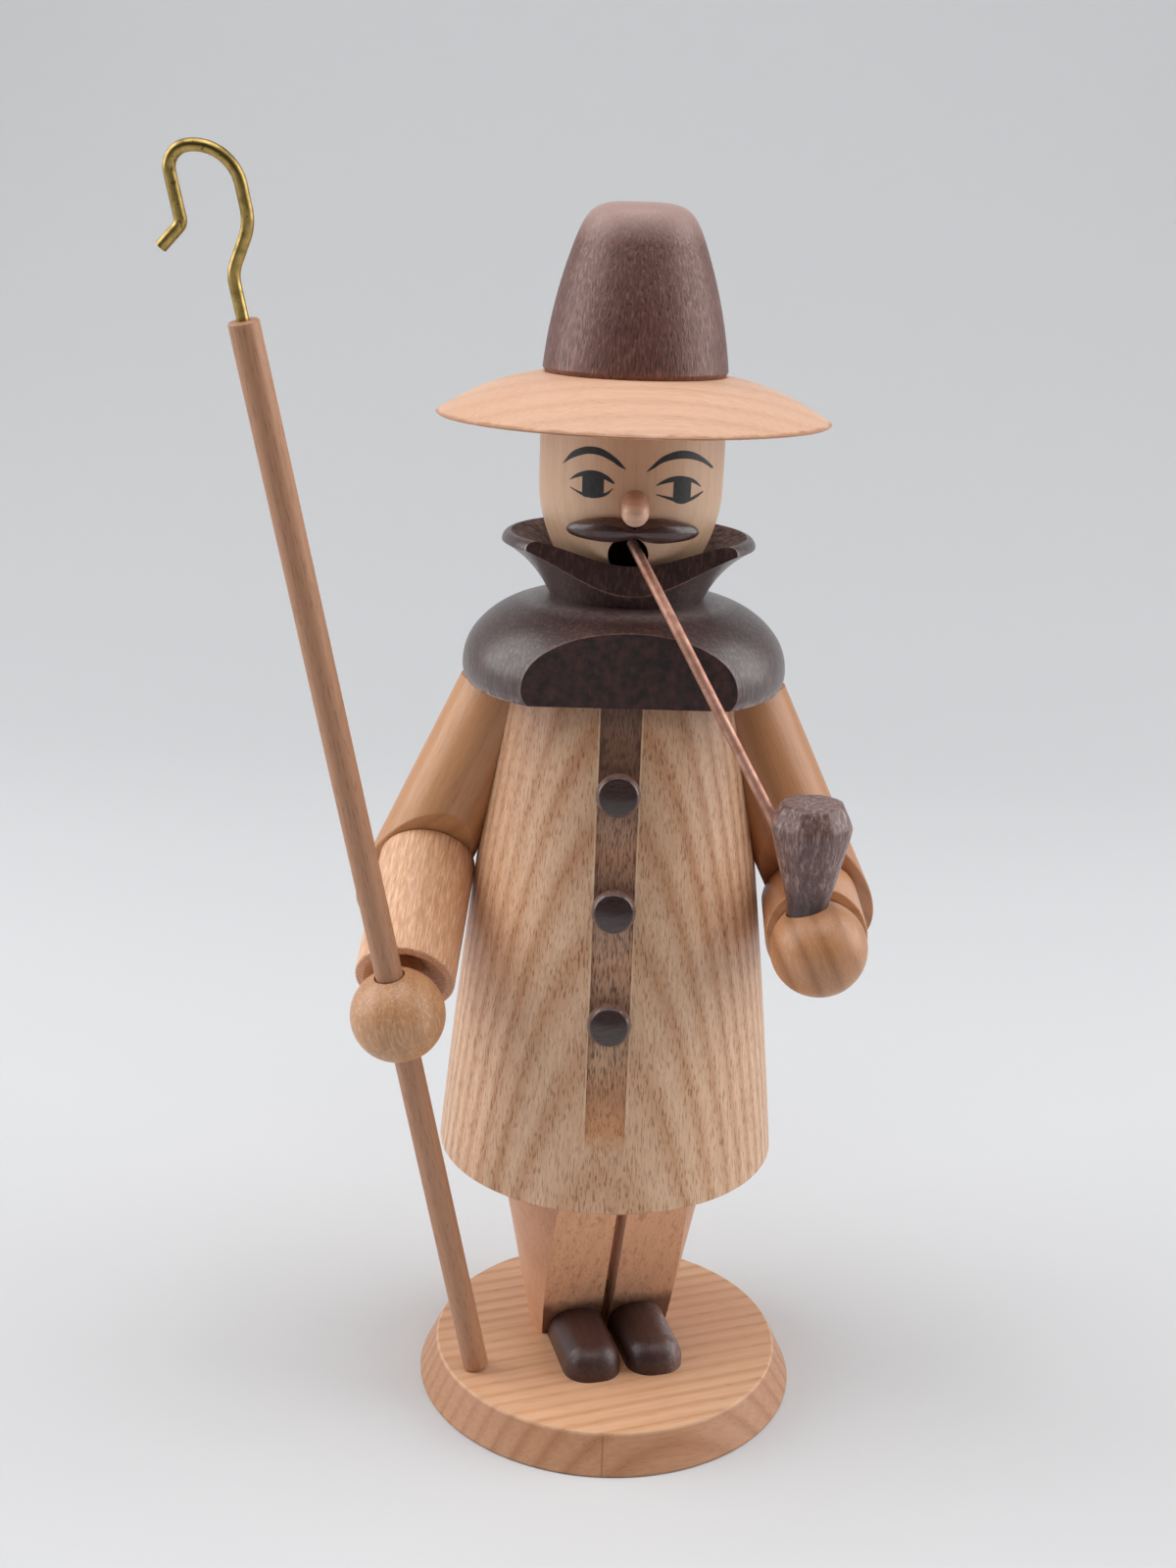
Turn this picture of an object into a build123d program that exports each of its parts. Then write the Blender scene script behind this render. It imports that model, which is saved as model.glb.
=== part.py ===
from build123d import *
import math
import os

os.makedirs("parts", exist_ok=True)

# Millimetres and degrees. +Z is up and the figure looks along -Y.
# The origin is the middle of the base plate's underside.

# Fits
glue_gap = 0.05
lift_clearance = 0.08
dish_clearance = 0.08
staff_clearance = 0.3
foot_clearance = 0.15

# Base plate
base_radius = 38.2
base_top_radius = 34.5
base_thickness = 7.5
base_edge_round = 0.4

# Where the figure stands: behind and left of the middle of the base, legs turned from the coat
figure_setback = 7.0
base_shift = 1.7
stance_turn = 16.0

# Legs
leg_height = 41.5
leg_foot_radius = 14.3
leg_hem_radius = 22.0
leg_flat_foot = 5.4
leg_flat_lean = 17.0
kerf_width = 2.2
kerf_depth = 4.5
leg_edge_round = 0.5
spigot_radius = 16.5
spigot_height = 10.0
spigot_chamfer = 0.8
leg_dowel_radius = 4.0
leg_dowel_base_seat = 4.5
leg_dowel_leg_seat = 12.0

# Shoes
shoe_width = 11.6
shoe_height = 6.2
shoe_spacing = 12.8
shoe_toe_reach = 24.4
shoe_toe_round = 4.8
shoe_top_round = 3.4

# Incense dish
dish_radius = 12.0
dish_floor_radius = 10.6
dish_height = 3.0
dish_wall = 0.6
dish_seat_depth = 1.8

# Coat
coat_height = 95.5
coat_hem_radius = 33.5
coat_top_radius = 22.4
coat_bulge = 0.6
coat_hem_round = 0.5
chamber_roof = 4.5
chamber_cone_height = 12.0
air_hole_radius = 3.0
air_hole_height = 17.0

# Button strip
strip_width = 7.4
strip_depth = 0.9
strip_end_height = 13.6
strip_runout = 9.0

# Buttons
button_radius = 3.5
button_edge_height = 1.2
button_dome_height = 1.7
button_peg_radius = 1.5
button_peg_length = 4.0
button_top_drop = 15.9
button_spacing = 21.2

# Cape and collar
cape_rim_radius = 30.5
cape_rim_height = 2.7
cape_rim_tuck = 0.8
cape_dome_height = 16.3
cape_shoulder_radius = 27.5
cape_shoulder_height = 10.4
cape_flat_front = 23.6
collar_neck_radius = 14.5
collar_rim_radius = 23.6
collar_height = 9.9
collar_flare_radius = 17.0
collar_flare_height = 4.2
collar_lip = 1.7
collar_cut_neck = 16.6
collar_cut_rim = 14.0
collar_floor_radius = 10.8
collar_floor_height = 3.2
collar_inner_radius = 14.9
collar_inner_height = 8.0

# How far the face and the cape's cuts are turned from the coat's strip
face_turn = 3.0

# Head
head_height = 31.0
head_radius = 17.0
head_seat_radius = 9.6
head_chin_radius = 13.4
head_chin_height = 4.4
head_cheek_radius = 16.05
head_cheek_height = 11.0
head_brow_height = 23.0
neck_tenon_radius = 8.0
neck_tenon_seat = 10.0
flue_radius = 4.5
flue_head_room = 1.2
mouth_radius = 3.6
mouth_height = 6.5

# Nose
nose_height = 15.8
nose_droop = 28.0
nose_root_radius = 1.5
nose_tip_radius = 2.45
nose_length = 4.6
nose_peg_radius = 1.2
nose_peg_length = 4.0

# Moustache
moustache_width = 23.6
moustache_height = 4.5
moustache_depth = 4.4
moustache_notch = 1.1
moustache_dip = 1.5
moustache_fullness = 2.6
moustache_blunt = 0.985
moustache_level = 11.4
moustache_droop = 0.6
moustache_stand_off = 0.9

# Hat
brim_radius = 36.1
brim_edge = 0.9
brim_hollow = 1.6
brim_thickness = 6.4
brim_crown_rise = 7.6
brim_bow = 1.25
crown_radius = 16.9
crown_tuck = 0.5
crown_tuck_height = 0.9
crown_side_height = 22.6
crown_side_radius = 11.9
crown_side_bow = 0.7
crown_height = 29.9
crown_shoulder_radius = 9.2
crown_shoulder_drop = 2.0
hat_dowel_radius = 4.0
hat_dowel_head_seat = 9.0
hat_dowel_crown_seat = 10.0

# Arms
arm_radius = 9.3
arm_spread = 25.4
arm_edge_round = 0.4
shoulder_offset = 20.5
upper_arm_length = 45.2
elbow_cut_pitch = 30.0
elbow_cut_splay = 3.2
forearm_radius = 9.3
forearm_length = 29.3
staff_forearm_shift = -5.1
staff_forearm_inset = 1.1
pipe_forearm_shift = 1.5
pipe_forearm_inset = 2.6
pipe_forearm_turn = 2.5
pipe_forearm_raise = 5.8
cuff_mouth_radius = 7.7
cuff_flare = 108.0
arm_dowel_radius = 2.5
arm_dowel_seat = 6.0
shoulder_dowel_drop = 14.0
elbow_dowel_radius = 2.0
elbow_dowel_seat = 5.0

# Hands
hand_radius = 8.7
hand_stand_off = 8.0
wrist_peg_radius = 3.0
wrist_peg_seat = 6.0

# Staff and its hook
staff_radius = 2.5
staff_length = 208.8
staff_lean_side = 10.25
staff_lean_front = 8.95
staff_end_chamfer = 0.3
hook_wire_radius = 1.0
hook_seat = 10.0
hook_shank = 7.2
hook_bow_out = 4.2
hook_bow_start = 14.0
hook_top = 26.4
hook_span = 10.2
hook_fall = 10.9
hook_flick_out = 3.9
hook_flick_drop = 2.9
hook_shank_bend = 6.0
hook_bow_bend = 8.0
hook_near_bend = 6.7
hook_far_bend = 3.4
hook_flick_bend = 1.6

# Pipe
bowl_sides = 8
bowl_foot_radius = 3.7
bowl_waist_radius = 4.4
bowl_radius = 7.2
bowl_corner_radius = 7.5
bowl_top_radius = 5.3
bowl_taper_height = 14.1
bowl_bevel_height = 4.2
bowl_seat = 5.5
bowl_inset = 2.3
bowl_lean = 1.2
stem_radius = 1.0
stem_seat = 2.0
stem_entry_height = 7.4
stem_mouth_side = 0.6
stem_mouth_rise = 2.2
stem_mouth_depth = 0.9
stem_bend_share = 0.3
stem_bend_forward = 5.5
stem_bend_rise = 1.0
stem_bend_radius = 14.0

# Levels above the floor
base_top = base_thickness
hem_level = base_top + leg_height
spigot_top = hem_level + spigot_height
coat_top = hem_level + coat_height
crease_level = coat_top + cape_dome_height
collar_top = crease_level + collar_height
head_seat = crease_level + collar_floor_height
head_top = head_seat + head_height
brim_top = head_top + brim_thickness
crown_top = brim_top + crown_height
tenon_foot = coat_top - neck_tenon_seat

# The figure's upright axis, the plane its turned profiles are drawn on (radius, height),
# and the plane of its side outline (distance in front of the axis, height)
figure_axis = Axis((0, figure_setback, 0), (0, 0, 1))
turning = Plane(origin=(0, figure_setback, 0), x_dir=(1, 0, 0), z_dir=(0, -1, 0))
side_outline = Plane(origin=(0, figure_setback, 0), x_dir=(0, -1, 0), z_dir=(-1, 0, 0))
up = Vector(0, 0, 1)

# The way the face looks, its left-to-right way and the plane of its side outline
face_angle = math.radians(face_turn)
face_front = Vector(math.sin(face_angle), -math.cos(face_angle), 0)
face_side = Vector(math.cos(face_angle), math.sin(face_angle), 0)
face_outline = Plane(origin=(0, figure_setback, 0), x_dir=face_front, z_dir=-face_side)


def save(piece, name):
    piece.part.label = name
    export_step(piece.part, f"parts/{name}.step")


# A plane whose local Y runs along a lathe axis and whose local X is a radius
def lathe_plane(origin, direction, radius_direction):
    return Plane(origin=origin, x_dir=radius_direction, z_dir=radius_direction.cross(direction))


# Base plate: a bevelled disc with a blind hole for the dowel under the legs
with BuildPart() as base_plate:
    with BuildSketch(Plane(origin=(base_shift, 0, 0), x_dir=(1, 0, 0), z_dir=(0, -1, 0))):
        with BuildLine():
            Polyline(
                (0, 0), (base_radius, 0), (base_top_radius, base_top), (0, base_top), close=True
            )
        make_face()
    revolve(axis=Axis((base_shift, 0, 0), (0, 0, 1)))
    fillet(base_plate.edges().filter_by(GeomType.CIRCLE), base_edge_round)
    with Locations((0, figure_setback, base_top)):
        Hole(leg_dowel_radius + glue_gap, depth=leg_dowel_base_seat + glue_gap)
save(base_plate, "base_plate")

with BuildPart() as leg_dowel:
    with BuildSketch(Plane((0, figure_setback, base_top - leg_dowel_base_seat))):
        Circle(leg_dowel_radius)
    extrude(amount=leg_dowel_base_seat + leg_dowel_leg_seat)
save(leg_dowel, "leg_dowel")

# Directions of the legs and shoes, which stand turned under the coat
stance = math.radians(stance_turn)
stance_forward = Vector(math.sin(stance), -math.cos(stance), 0)
stance_side = Vector(math.cos(stance), math.sin(stance), 0)
stance_foot = Vector(0, figure_setback, base_top)
stance_outline = Plane(origin=stance_foot, x_dir=stance_forward, z_dir=-stance_side)
leg_flat_hem = leg_flat_foot + leg_height * math.tan(math.radians(leg_flat_lean))
leg_flat = Plane(
    origin=stance_foot + stance_forward * leg_flat_foot,
    x_dir=stance_side,
    z_dir=stance_forward * leg_height - up * (leg_flat_hem - leg_flat_foot),
)

# Leg block: turned taper with a spigot for the coat and a recess for the dish,
# then a slanting flat and a saw kerf in front
with BuildPart() as leg_block:
    with BuildSketch(turning):
        with BuildLine():
            Polyline(
                (leg_dowel_radius + glue_gap, base_top),
                (leg_foot_radius, base_top),
                (leg_hem_radius, hem_level),
                (spigot_radius, hem_level),
                (spigot_radius, spigot_top - spigot_chamfer),
                (spigot_radius - spigot_chamfer, spigot_top),
                (dish_radius + dish_clearance, spigot_top),
                (dish_radius + dish_clearance, spigot_top - dish_seat_depth),
                (0, spigot_top - dish_seat_depth),
                (0, base_top + leg_dowel_leg_seat + glue_gap),
                (leg_dowel_radius + glue_gap, base_top + leg_dowel_leg_seat + glue_gap),
                close=True,
            )
        make_face()
    revolve(axis=figure_axis)
    with BuildSketch(stance_outline):
        with BuildLine():
            Polyline(
                (leg_flat_foot, 0),
                (leg_flat_hem, leg_height),
                (leg_flat_hem + leg_hem_radius, leg_height),
                (leg_flat_hem + leg_hem_radius, 0),
                close=True,
            )
        make_face()
    extrude(amount=leg_hem_radius, both=True, mode=Mode.SUBTRACT)
    flat_face = leg_block.faces().sort_by_distance(leg_flat.origin)[0]
    fillet(flat_face.edges().filter_by(GeomType.LINE, reverse=True), leg_edge_round)
    with BuildSketch(stance_outline):
        with BuildLine():
            Polyline(
                (leg_flat_foot - kerf_depth, 0),
                (leg_flat_hem - kerf_depth, leg_height),
                (leg_flat_hem, leg_height),
                (leg_flat_foot, 0),
                close=True,
            )
        make_face()
    extrude(amount=kerf_width / 2, both=True, mode=Mode.SUBTRACT)
save(leg_block, "leg_block")

# Shoes: loaf-shaped blocks with round toes, cut to the slant of the legs
for shoe_name, shoe_sign in (("left_shoe", -1), ("right_shoe", 1)):
    shoe_heel = stance_foot + stance_side * (shoe_sign * shoe_spacing / 2)
    with BuildPart() as shoe:
        with BuildSketch(Plane(origin=shoe_heel, x_dir=stance_forward, z_dir=up)) as shoe_plan:
            with Locations((shoe_toe_reach / 2, 0)):
                Rectangle(shoe_toe_reach, shoe_width)
            fillet(shoe_plan.vertices().sort_by(Axis.X)[-2:], shoe_toe_round)
        extrude(amount=shoe_height)
        fillet(shoe.faces().sort_by(Axis.Z)[-1].edges(), shoe_top_round)
        split(bisect_by=leg_flat, keep=Keep.TOP)
    save(shoe, shoe_name)

# Incense dish: thin pressed metal, loose in the recess on top of the legs
dish_foot = spigot_top - dish_seat_depth
with BuildPart() as incense_dish:
    with BuildSketch(turning):
        with BuildLine():
            Polyline(
                (0, dish_foot),
                (dish_floor_radius, dish_foot),
                (dish_radius, dish_foot + dish_height),
                (dish_radius - dish_wall, dish_foot + dish_height),
                (dish_floor_radius - dish_wall, dish_foot + dish_wall),
                (0, dish_foot + dish_wall),
                close=True,
            )
        make_face()
    revolve(axis=figure_axis)
save(incense_dish, "incense_dish")

# The coat's side is one shallow arc from hem to top, in (radius, height)
coat_slope_in = coat_hem_radius - coat_top_radius
coat_half_chord = math.hypot(coat_slope_in, coat_height) / 2
coat_arc_radius = (coat_half_chord**2 + coat_bulge**2) / (2 * coat_bulge)
coat_middle = Vector((coat_hem_radius + coat_top_radius) / 2, hem_level + coat_height / 2)
coat_out = Vector(coat_height, coat_slope_in).normalized()
coat_arc_centre = coat_middle - coat_out * (coat_arc_radius - coat_bulge)


# Radius of the coat's side at a height, or of a surface set below or above it
def coat_radius(height, grow=0.0):
    rise = height - coat_arc_centre.Y
    return coat_arc_centre.X + math.sqrt((coat_arc_radius + grow) ** 2 - rise**2)


# Outward direction of the coat's front at a height
def coat_front_normal(height):
    rise = height - coat_arc_centre.Y
    return Vector(0, coat_arc_centre.X - coat_radius(height), rise).normalized()


def coat_side_arc(top, bottom, grow=0.0):
    middle = (top + bottom) / 2
    return ThreePointArc(
        (coat_radius(bottom, grow), bottom),
        (coat_radius(middle, grow), middle),
        (coat_radius(top, grow), top),
    )


# The coat as turned, before any cutting, a glue line larger: what the arms are coped to
with BuildPart() as coat_blank:
    with BuildSketch(turning):
        with BuildLine():
            Polyline(
                (coat_radius(coat_top, glue_gap), coat_top),
                (0, coat_top),
                (0, hem_level),
                (coat_radius(hem_level, glue_gap), hem_level),
            )
            coat_side_arc(coat_top, hem_level, glue_gap)
        make_face()
    revolve(axis=figure_axis)

# Shoulder dowels lie across the figure, half in the coat and half in the arm
shoulder_dowel_level = coat_top - shoulder_dowel_drop
shoulder_dowel_root = coat_radius(shoulder_dowel_level) - arm_dowel_seat

# Buttons stand square on the floor of the strip
button_names = ("button_top", "button_middle", "button_bottom")
button_levels = [coat_top - button_top_drop - i * button_spacing for i in range(len(button_names))]


def button_seat(level):
    return Vector(0, figure_setback - coat_radius(level, -strip_depth), level)


# Coat: hollow turning with the smoke chamber, a flue to the neck, an air hole behind,
# a milled strip in front and the holes for buttons and shoulders
chamber_radius = spigot_radius + lift_clearance
chamber_top = tenon_foot - chamber_roof - chamber_cone_height
strip_end = hem_level + strip_end_height
strip_floor_end = strip_end + strip_runout
with BuildPart() as coat:
    with BuildSketch(turning):
        with BuildLine():
            Polyline(
                (coat_top_radius, coat_top),
                (neck_tenon_radius + glue_gap, coat_top),
                (neck_tenon_radius + glue_gap, tenon_foot - glue_gap),
                (flue_radius, tenon_foot - glue_gap),
                (flue_radius, chamber_top + chamber_cone_height),
                (chamber_radius, chamber_top),
                (chamber_radius, hem_level),
                (coat_hem_radius, hem_level),
            )
            coat_side_arc(coat_top, hem_level)
        make_face()
    revolve(axis=figure_axis)
    hem_edge = coat.edges().filter_by(GeomType.CIRCLE).group_by(Axis.Z)[0].sort_by(SortBy.RADIUS)[-1]
    fillet(hem_edge, coat_hem_round)
    with BuildSketch(side_outline):
        with BuildLine():
            strip_floor = coat_side_arc(strip_floor_end, coat_top, -strip_depth)
            TangentArc(
                strip_floor @ 1,
                (coat_radius(strip_end), strip_end),
                tangent=strip_floor % 1,
            )
            Polyline(
                (coat_radius(strip_end), strip_end),
                (coat_hem_radius + strip_depth, strip_end),
                (coat_hem_radius + strip_depth, coat_top),
                strip_floor @ 0,
            )
        make_face()
    extrude(amount=strip_width / 2, both=True, mode=Mode.SUBTRACT)
    air_hole_level = hem_level + air_hole_height
    with Locations(
        Plane((0, figure_setback + coat_hem_radius, air_hole_level), x_dir=(1, 0, 0), z_dir=(0, 1, 0))
    ):
        Hole(air_hole_radius, depth=coat_hem_radius)
    for level in button_levels:
        with Locations(Plane(button_seat(level), x_dir=(1, 0, 0), z_dir=coat_front_normal(level))):
            Hole(button_peg_radius + glue_gap, depth=button_peg_length + glue_gap)
    for sign in (-1, 1):
        with BuildSketch(
            Plane((sign * (shoulder_dowel_root - glue_gap), figure_setback, shoulder_dowel_level),
                  x_dir=(0, 1, 0), z_dir=(sign, 0, 0))
        ):
            Circle(arm_dowel_radius + glue_gap)
        extrude(amount=coat_hem_radius, mode=Mode.SUBTRACT)
save(coat, "coat")

for button_name, level in zip(button_names, button_levels):
    button_out = coat_front_normal(level)
    with BuildPart() as button:
        with BuildSketch(lathe_plane(button_seat(level), button_out, Vector(1, 0, 0))):
            with BuildLine():
                Polyline(
                    (0, button_edge_height + button_dome_height),
                    (0, -button_peg_length),
                    (button_peg_radius, -button_peg_length),
                    (button_peg_radius, 0),
                    (button_radius, 0),
                    (button_radius, button_edge_height),
                )
                Spline(
                    (button_radius, button_edge_height),
                    (0, button_edge_height + button_dome_height),
                    tangents=((0, 1), (-1, 0)),
                )
            make_face()
        revolve(axis=Axis(button_seat(level), button_out))
    save(button, button_name)

# Cape: a domed ring with a standing collar turned on it, bored for the neck tenon,
# sliced flat down the front and slanting across the collar
cape_foot_radius = cape_rim_radius - cape_rim_tuck
collar_lip_radius = collar_rim_radius - collar_lip
cape_flat_middle = (
    Vector(0, figure_setback, coat_top + cape_shoulder_height / 2) + face_front * cape_flat_front
)
with BuildPart() as cape:
    with BuildSketch(turning):
        with BuildLine():
            ThreePointArc(
                (cape_foot_radius, coat_top),
                (cape_rim_radius - cape_rim_tuck / 4, coat_top + cape_rim_height / 2),
                (cape_rim_radius, coat_top + cape_rim_height),
            )
            Spline(
                (cape_rim_radius, coat_top + cape_rim_height),
                (cape_shoulder_radius, coat_top + cape_shoulder_height),
                (collar_neck_radius, crease_level),
                tangents=((0, 1), (-1, 0.1)),
            )
            ThreePointArc(
                (collar_neck_radius, crease_level),
                (collar_flare_radius, crease_level + collar_flare_height),
                (collar_rim_radius, collar_top),
            )
            RadiusArc(
                (collar_rim_radius, collar_top), (collar_lip_radius, collar_top + collar_lip), -collar_lip
            )
            ThreePointArc(
                (collar_lip_radius, collar_top + collar_lip),
                (collar_inner_radius, crease_level + collar_inner_height),
                (collar_floor_radius, head_seat),
            )
            Polyline(
                (collar_floor_radius, head_seat),
                (neck_tenon_radius + glue_gap, head_seat),
                (neck_tenon_radius + glue_gap, coat_top),
                (cape_foot_radius, coat_top),
            )
        make_face()
    revolve(axis=figure_axis)
    split(bisect_by=Plane(cape_flat_middle, x_dir=face_side, z_dir=-face_front), keep=Keep.TOP)
    cut_rise = collar_height + collar_lip
    cut_slope = (collar_cut_rim - collar_cut_neck) / collar_height
    with BuildSketch(face_outline):
        with BuildLine():
            Polyline(
                (collar_cut_neck, crease_level),
                (collar_cut_neck + cut_slope * cut_rise, crease_level + cut_rise),
                (collar_cut_neck + collar_rim_radius, crease_level + cut_rise),
                (collar_cut_neck + collar_rim_radius, crease_level),
                close=True,
            )
        make_face()
    extrude(amount=collar_rim_radius, both=True, mode=Mode.SUBTRACT)
save(cape, "cape")


# The face side of the head from its seat to its top, in (radius, height)
def head_outline(grow=0.0):
    Spline(
        (head_seat_radius + grow, head_seat),
        (head_chin_radius + grow, head_seat + head_chin_height),
        (head_cheek_radius + grow, head_seat + head_cheek_height),
        (head_radius + grow, head_seat + head_brow_height),
        tangents=((0.8, 0.6), (0, 1)),
    )
    Line((head_radius + grow, head_seat + head_brow_height), (head_radius + grow, head_top))


# The head as turned, a glue line larger: what nose and moustache are coped to
with BuildPart() as head_blank:
    with BuildSketch(turning):
        with BuildLine():
            head_outline(glue_gap)
            Polyline(
                (head_radius + glue_gap, head_top),
                (0, head_top),
                (0, head_seat),
                (head_seat_radius + glue_gap, head_seat),
            )
        make_face()
    revolve(axis=figure_axis)

# The nose points forward and droops; its root is where its axis leaves the face
nose_level = head_seat + nose_height
nose_angle = math.radians(nose_droop)
nose_out = face_front * math.cos(nose_angle) - up * math.sin(nose_angle)
nose_root = Vector(0, figure_setback, nose_level) + face_front * head_radius

# Head: turned with a hollow tenon that pins cape and coat, and a mouth into the flue
mouth_level = head_seat + mouth_height
flue_top = mouth_level + mouth_radius + flue_head_room
with BuildPart() as head:
    with BuildSketch(turning):
        with BuildLine():
            head_outline()
            Polyline(
                (head_radius, head_top),
                (hat_dowel_radius + glue_gap, head_top),
                (hat_dowel_radius + glue_gap, head_top - hat_dowel_head_seat - glue_gap),
                (0, head_top - hat_dowel_head_seat - glue_gap),
                (0, flue_top),
                (flue_radius, flue_top),
                (flue_radius, tenon_foot),
                (neck_tenon_radius, tenon_foot),
                (neck_tenon_radius, head_seat),
                (head_seat_radius, head_seat),
            )
        make_face()
    revolve(axis=figure_axis)
    with Locations(
        Plane((0, figure_setback - head_radius, mouth_level), x_dir=(1, 0, 0), z_dir=(0, -1, 0))
    ):
        Hole(mouth_radius, depth=head_radius)
    with Locations(Plane(nose_root, x_dir=face_side, z_dir=nose_out)):
        Hole(nose_peg_radius + glue_gap, depth=nose_peg_length + glue_gap)
save(head, "head")


# The bulb of the nose from behind the face to its tip, in (radius, length)
def nose_outline(grow=0.0):
    Spline(
        (nose_root_radius + grow, -nose_peg_length / 2),
        (nose_tip_radius + grow, nose_length - nose_tip_radius),
        (0, nose_length + grow),
        tangents=((0, 1), (-1, 0)),
    )
    Polyline(
        (0, nose_length + grow),
        (0, -nose_peg_length / 2),
        (nose_root_radius + grow, -nose_peg_length / 2),
    )


nose_lathe = lathe_plane(nose_root, nose_out, face_side)
nose_axis = Axis(nose_root, nose_out)

# The nose a glue line larger: what the moustache is notched for
with BuildPart() as nose_blank:
    with BuildSketch(nose_lathe):
        with BuildLine():
            nose_outline(glue_gap)
        make_face()
    revolve(axis=nose_axis)

with BuildPart() as nose:
    with BuildSketch(nose_lathe):
        with BuildLine():
            nose_outline()
        make_face()
    revolve(axis=nose_axis)
    add(head_blank.part, mode=Mode.SUBTRACT)
    with BuildSketch(Plane(nose_root, x_dir=face_side, z_dir=-nose_out)):
        Circle(nose_peg_radius)
    extrude(amount=nose_peg_length)
save(nose, "nose")

# Moustache: two lens-shaped halves that meet in a notch, each lofted round the face
moustache_z = head_seat + moustache_level
moustache_arc_radius = head_cheek_radius + moustache_stand_off
moustache_half_turn = math.degrees(math.asin(moustache_width / 2 / moustache_arc_radius))
moustache_shares = (0.0, 0.3, 0.6, 0.8, 0.93, moustache_blunt)
with BuildPart() as moustache:
    for share in moustache_shares:
        turn = math.radians(face_turn + share * moustache_half_turn)
        outward = Vector(math.sin(turn), -math.cos(turn), 0)
        taper = math.sqrt(1 - share**moustache_fullness)
        near_middle = max(0, 1 - share / moustache_shares[1])
        notch = moustache_notch * near_middle
        dip = moustache_dip * near_middle
        section_level = moustache_z + (notch - dip) / 2 - moustache_droop * share**2
        section_middle = Vector(0, figure_setback, section_level) + outward * moustache_arc_radius
        with BuildSketch(Plane(section_middle, x_dir=outward, z_dir=up.cross(outward))):
            Ellipse(moustache_depth * taper / 2, (moustache_height * taper - notch - dip) / 2)
    loft()
    mirror(about=Plane((0, figure_setback, 0), x_dir=face_front, z_dir=face_side))
    add(head_blank.part, mode=Mode.SUBTRACT)
    add(nose_blank.part, mode=Mode.SUBTRACT)
save(moustache, "moustache")

# Hat brim: thin at the edge, bowed on top, slightly hollow below
brim_edge_foot = head_top - brim_hollow
brim_edge_top = brim_top - brim_crown_rise
brim_mean_radius = (crown_radius + brim_radius) / 2
with BuildPart() as hat_brim:
    with BuildSketch(turning):
        with BuildLine():
            ThreePointArc(
                (crown_radius, brim_top),
                (brim_mean_radius, (brim_top + brim_edge_top) / 2 + brim_bow),
                (brim_radius, brim_edge_top),
            )
            RadiusArc((brim_radius, brim_edge_top), (brim_radius - brim_edge, brim_edge_foot), brim_edge)
            ThreePointArc(
                (brim_radius - brim_edge, brim_edge_foot),
                (brim_mean_radius, head_top - brim_hollow / 3),
                (head_radius, head_top),
            )
            Polyline(
                (head_radius, head_top),
                (hat_dowel_radius + glue_gap, head_top),
                (hat_dowel_radius + glue_gap, brim_top),
                (crown_radius, brim_top),
            )
        make_face()
    revolve(axis=figure_axis)
save(hat_brim, "hat_brim")

# Hat crown: tall blunt cone with a tucked foot and a rounded top
crown_side_middle = (crown_radius + crown_side_radius) / 2 + crown_side_bow
with BuildPart() as hat_crown:
    with BuildSketch(turning):
        with BuildLine():
            Line((crown_radius - crown_tuck, brim_top), (crown_radius, brim_top + crown_tuck_height))
            crown_side = ThreePointArc(
                (crown_radius, brim_top + crown_tuck_height),
                (crown_side_middle, brim_top + (crown_tuck_height + crown_side_height) / 2),
                (crown_side_radius, brim_top + crown_side_height),
            )
            Spline(
                crown_side @ 1,
                (crown_shoulder_radius, crown_top - crown_shoulder_drop),
                (0, crown_top),
                tangents=(crown_side % 1, (-1, 0)),
            )
            Polyline(
                (0, crown_top),
                (0, brim_top + hat_dowel_crown_seat + glue_gap),
                (hat_dowel_radius + glue_gap, brim_top + hat_dowel_crown_seat + glue_gap),
                (hat_dowel_radius + glue_gap, brim_top),
                (crown_radius - crown_tuck, brim_top),
            )
        make_face()
    revolve(axis=figure_axis)
save(hat_crown, "hat_crown")

with BuildPart() as hat_dowel:
    with BuildSketch(Plane((0, figure_setback, head_top - hat_dowel_head_seat))):
        Circle(hat_dowel_radius)
    extrude(amount=hat_dowel_head_seat + brim_thickness + hat_dowel_crown_seat)
save(hat_dowel, "hat_dowel")

# Arms: sign -1 is the staff side and +1 the pipe side
arm_angle = math.radians(arm_spread)
cut_pitch = math.radians(elbow_cut_pitch)
cut_splay = math.radians(elbow_cut_splay)
pipe_turn = math.radians(pipe_forearm_turn)
pipe_raise = math.radians(pipe_forearm_raise)


def arm_direction(sign):
    return Vector(sign * math.sin(arm_angle), 0, -math.cos(arm_angle))


# Outward normal of the slanting cut at the elbow
def elbow_normal(sign):
    return Vector(
        sign * math.sin(cut_splay) * math.cos(cut_pitch),
        -math.cos(cut_splay) * math.cos(cut_pitch),
        -math.sin(cut_pitch),
    )


def shoulder_point(sign):
    return Vector(sign * shoulder_offset, figure_setback, coat_top)


# Where a forearm's axis starts: on the cut, moved along its long way and inward from the arm's axis
def elbow_point(sign, shift, inset):
    direction = arm_direction(sign)
    normal = elbow_normal(sign)
    long_way = (direction - normal * direction.dot(normal)).normalized()
    inward = long_way.cross(normal) * sign
    return shoulder_point(sign) + direction * upper_arm_length + long_way * shift + inward * inset


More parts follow.
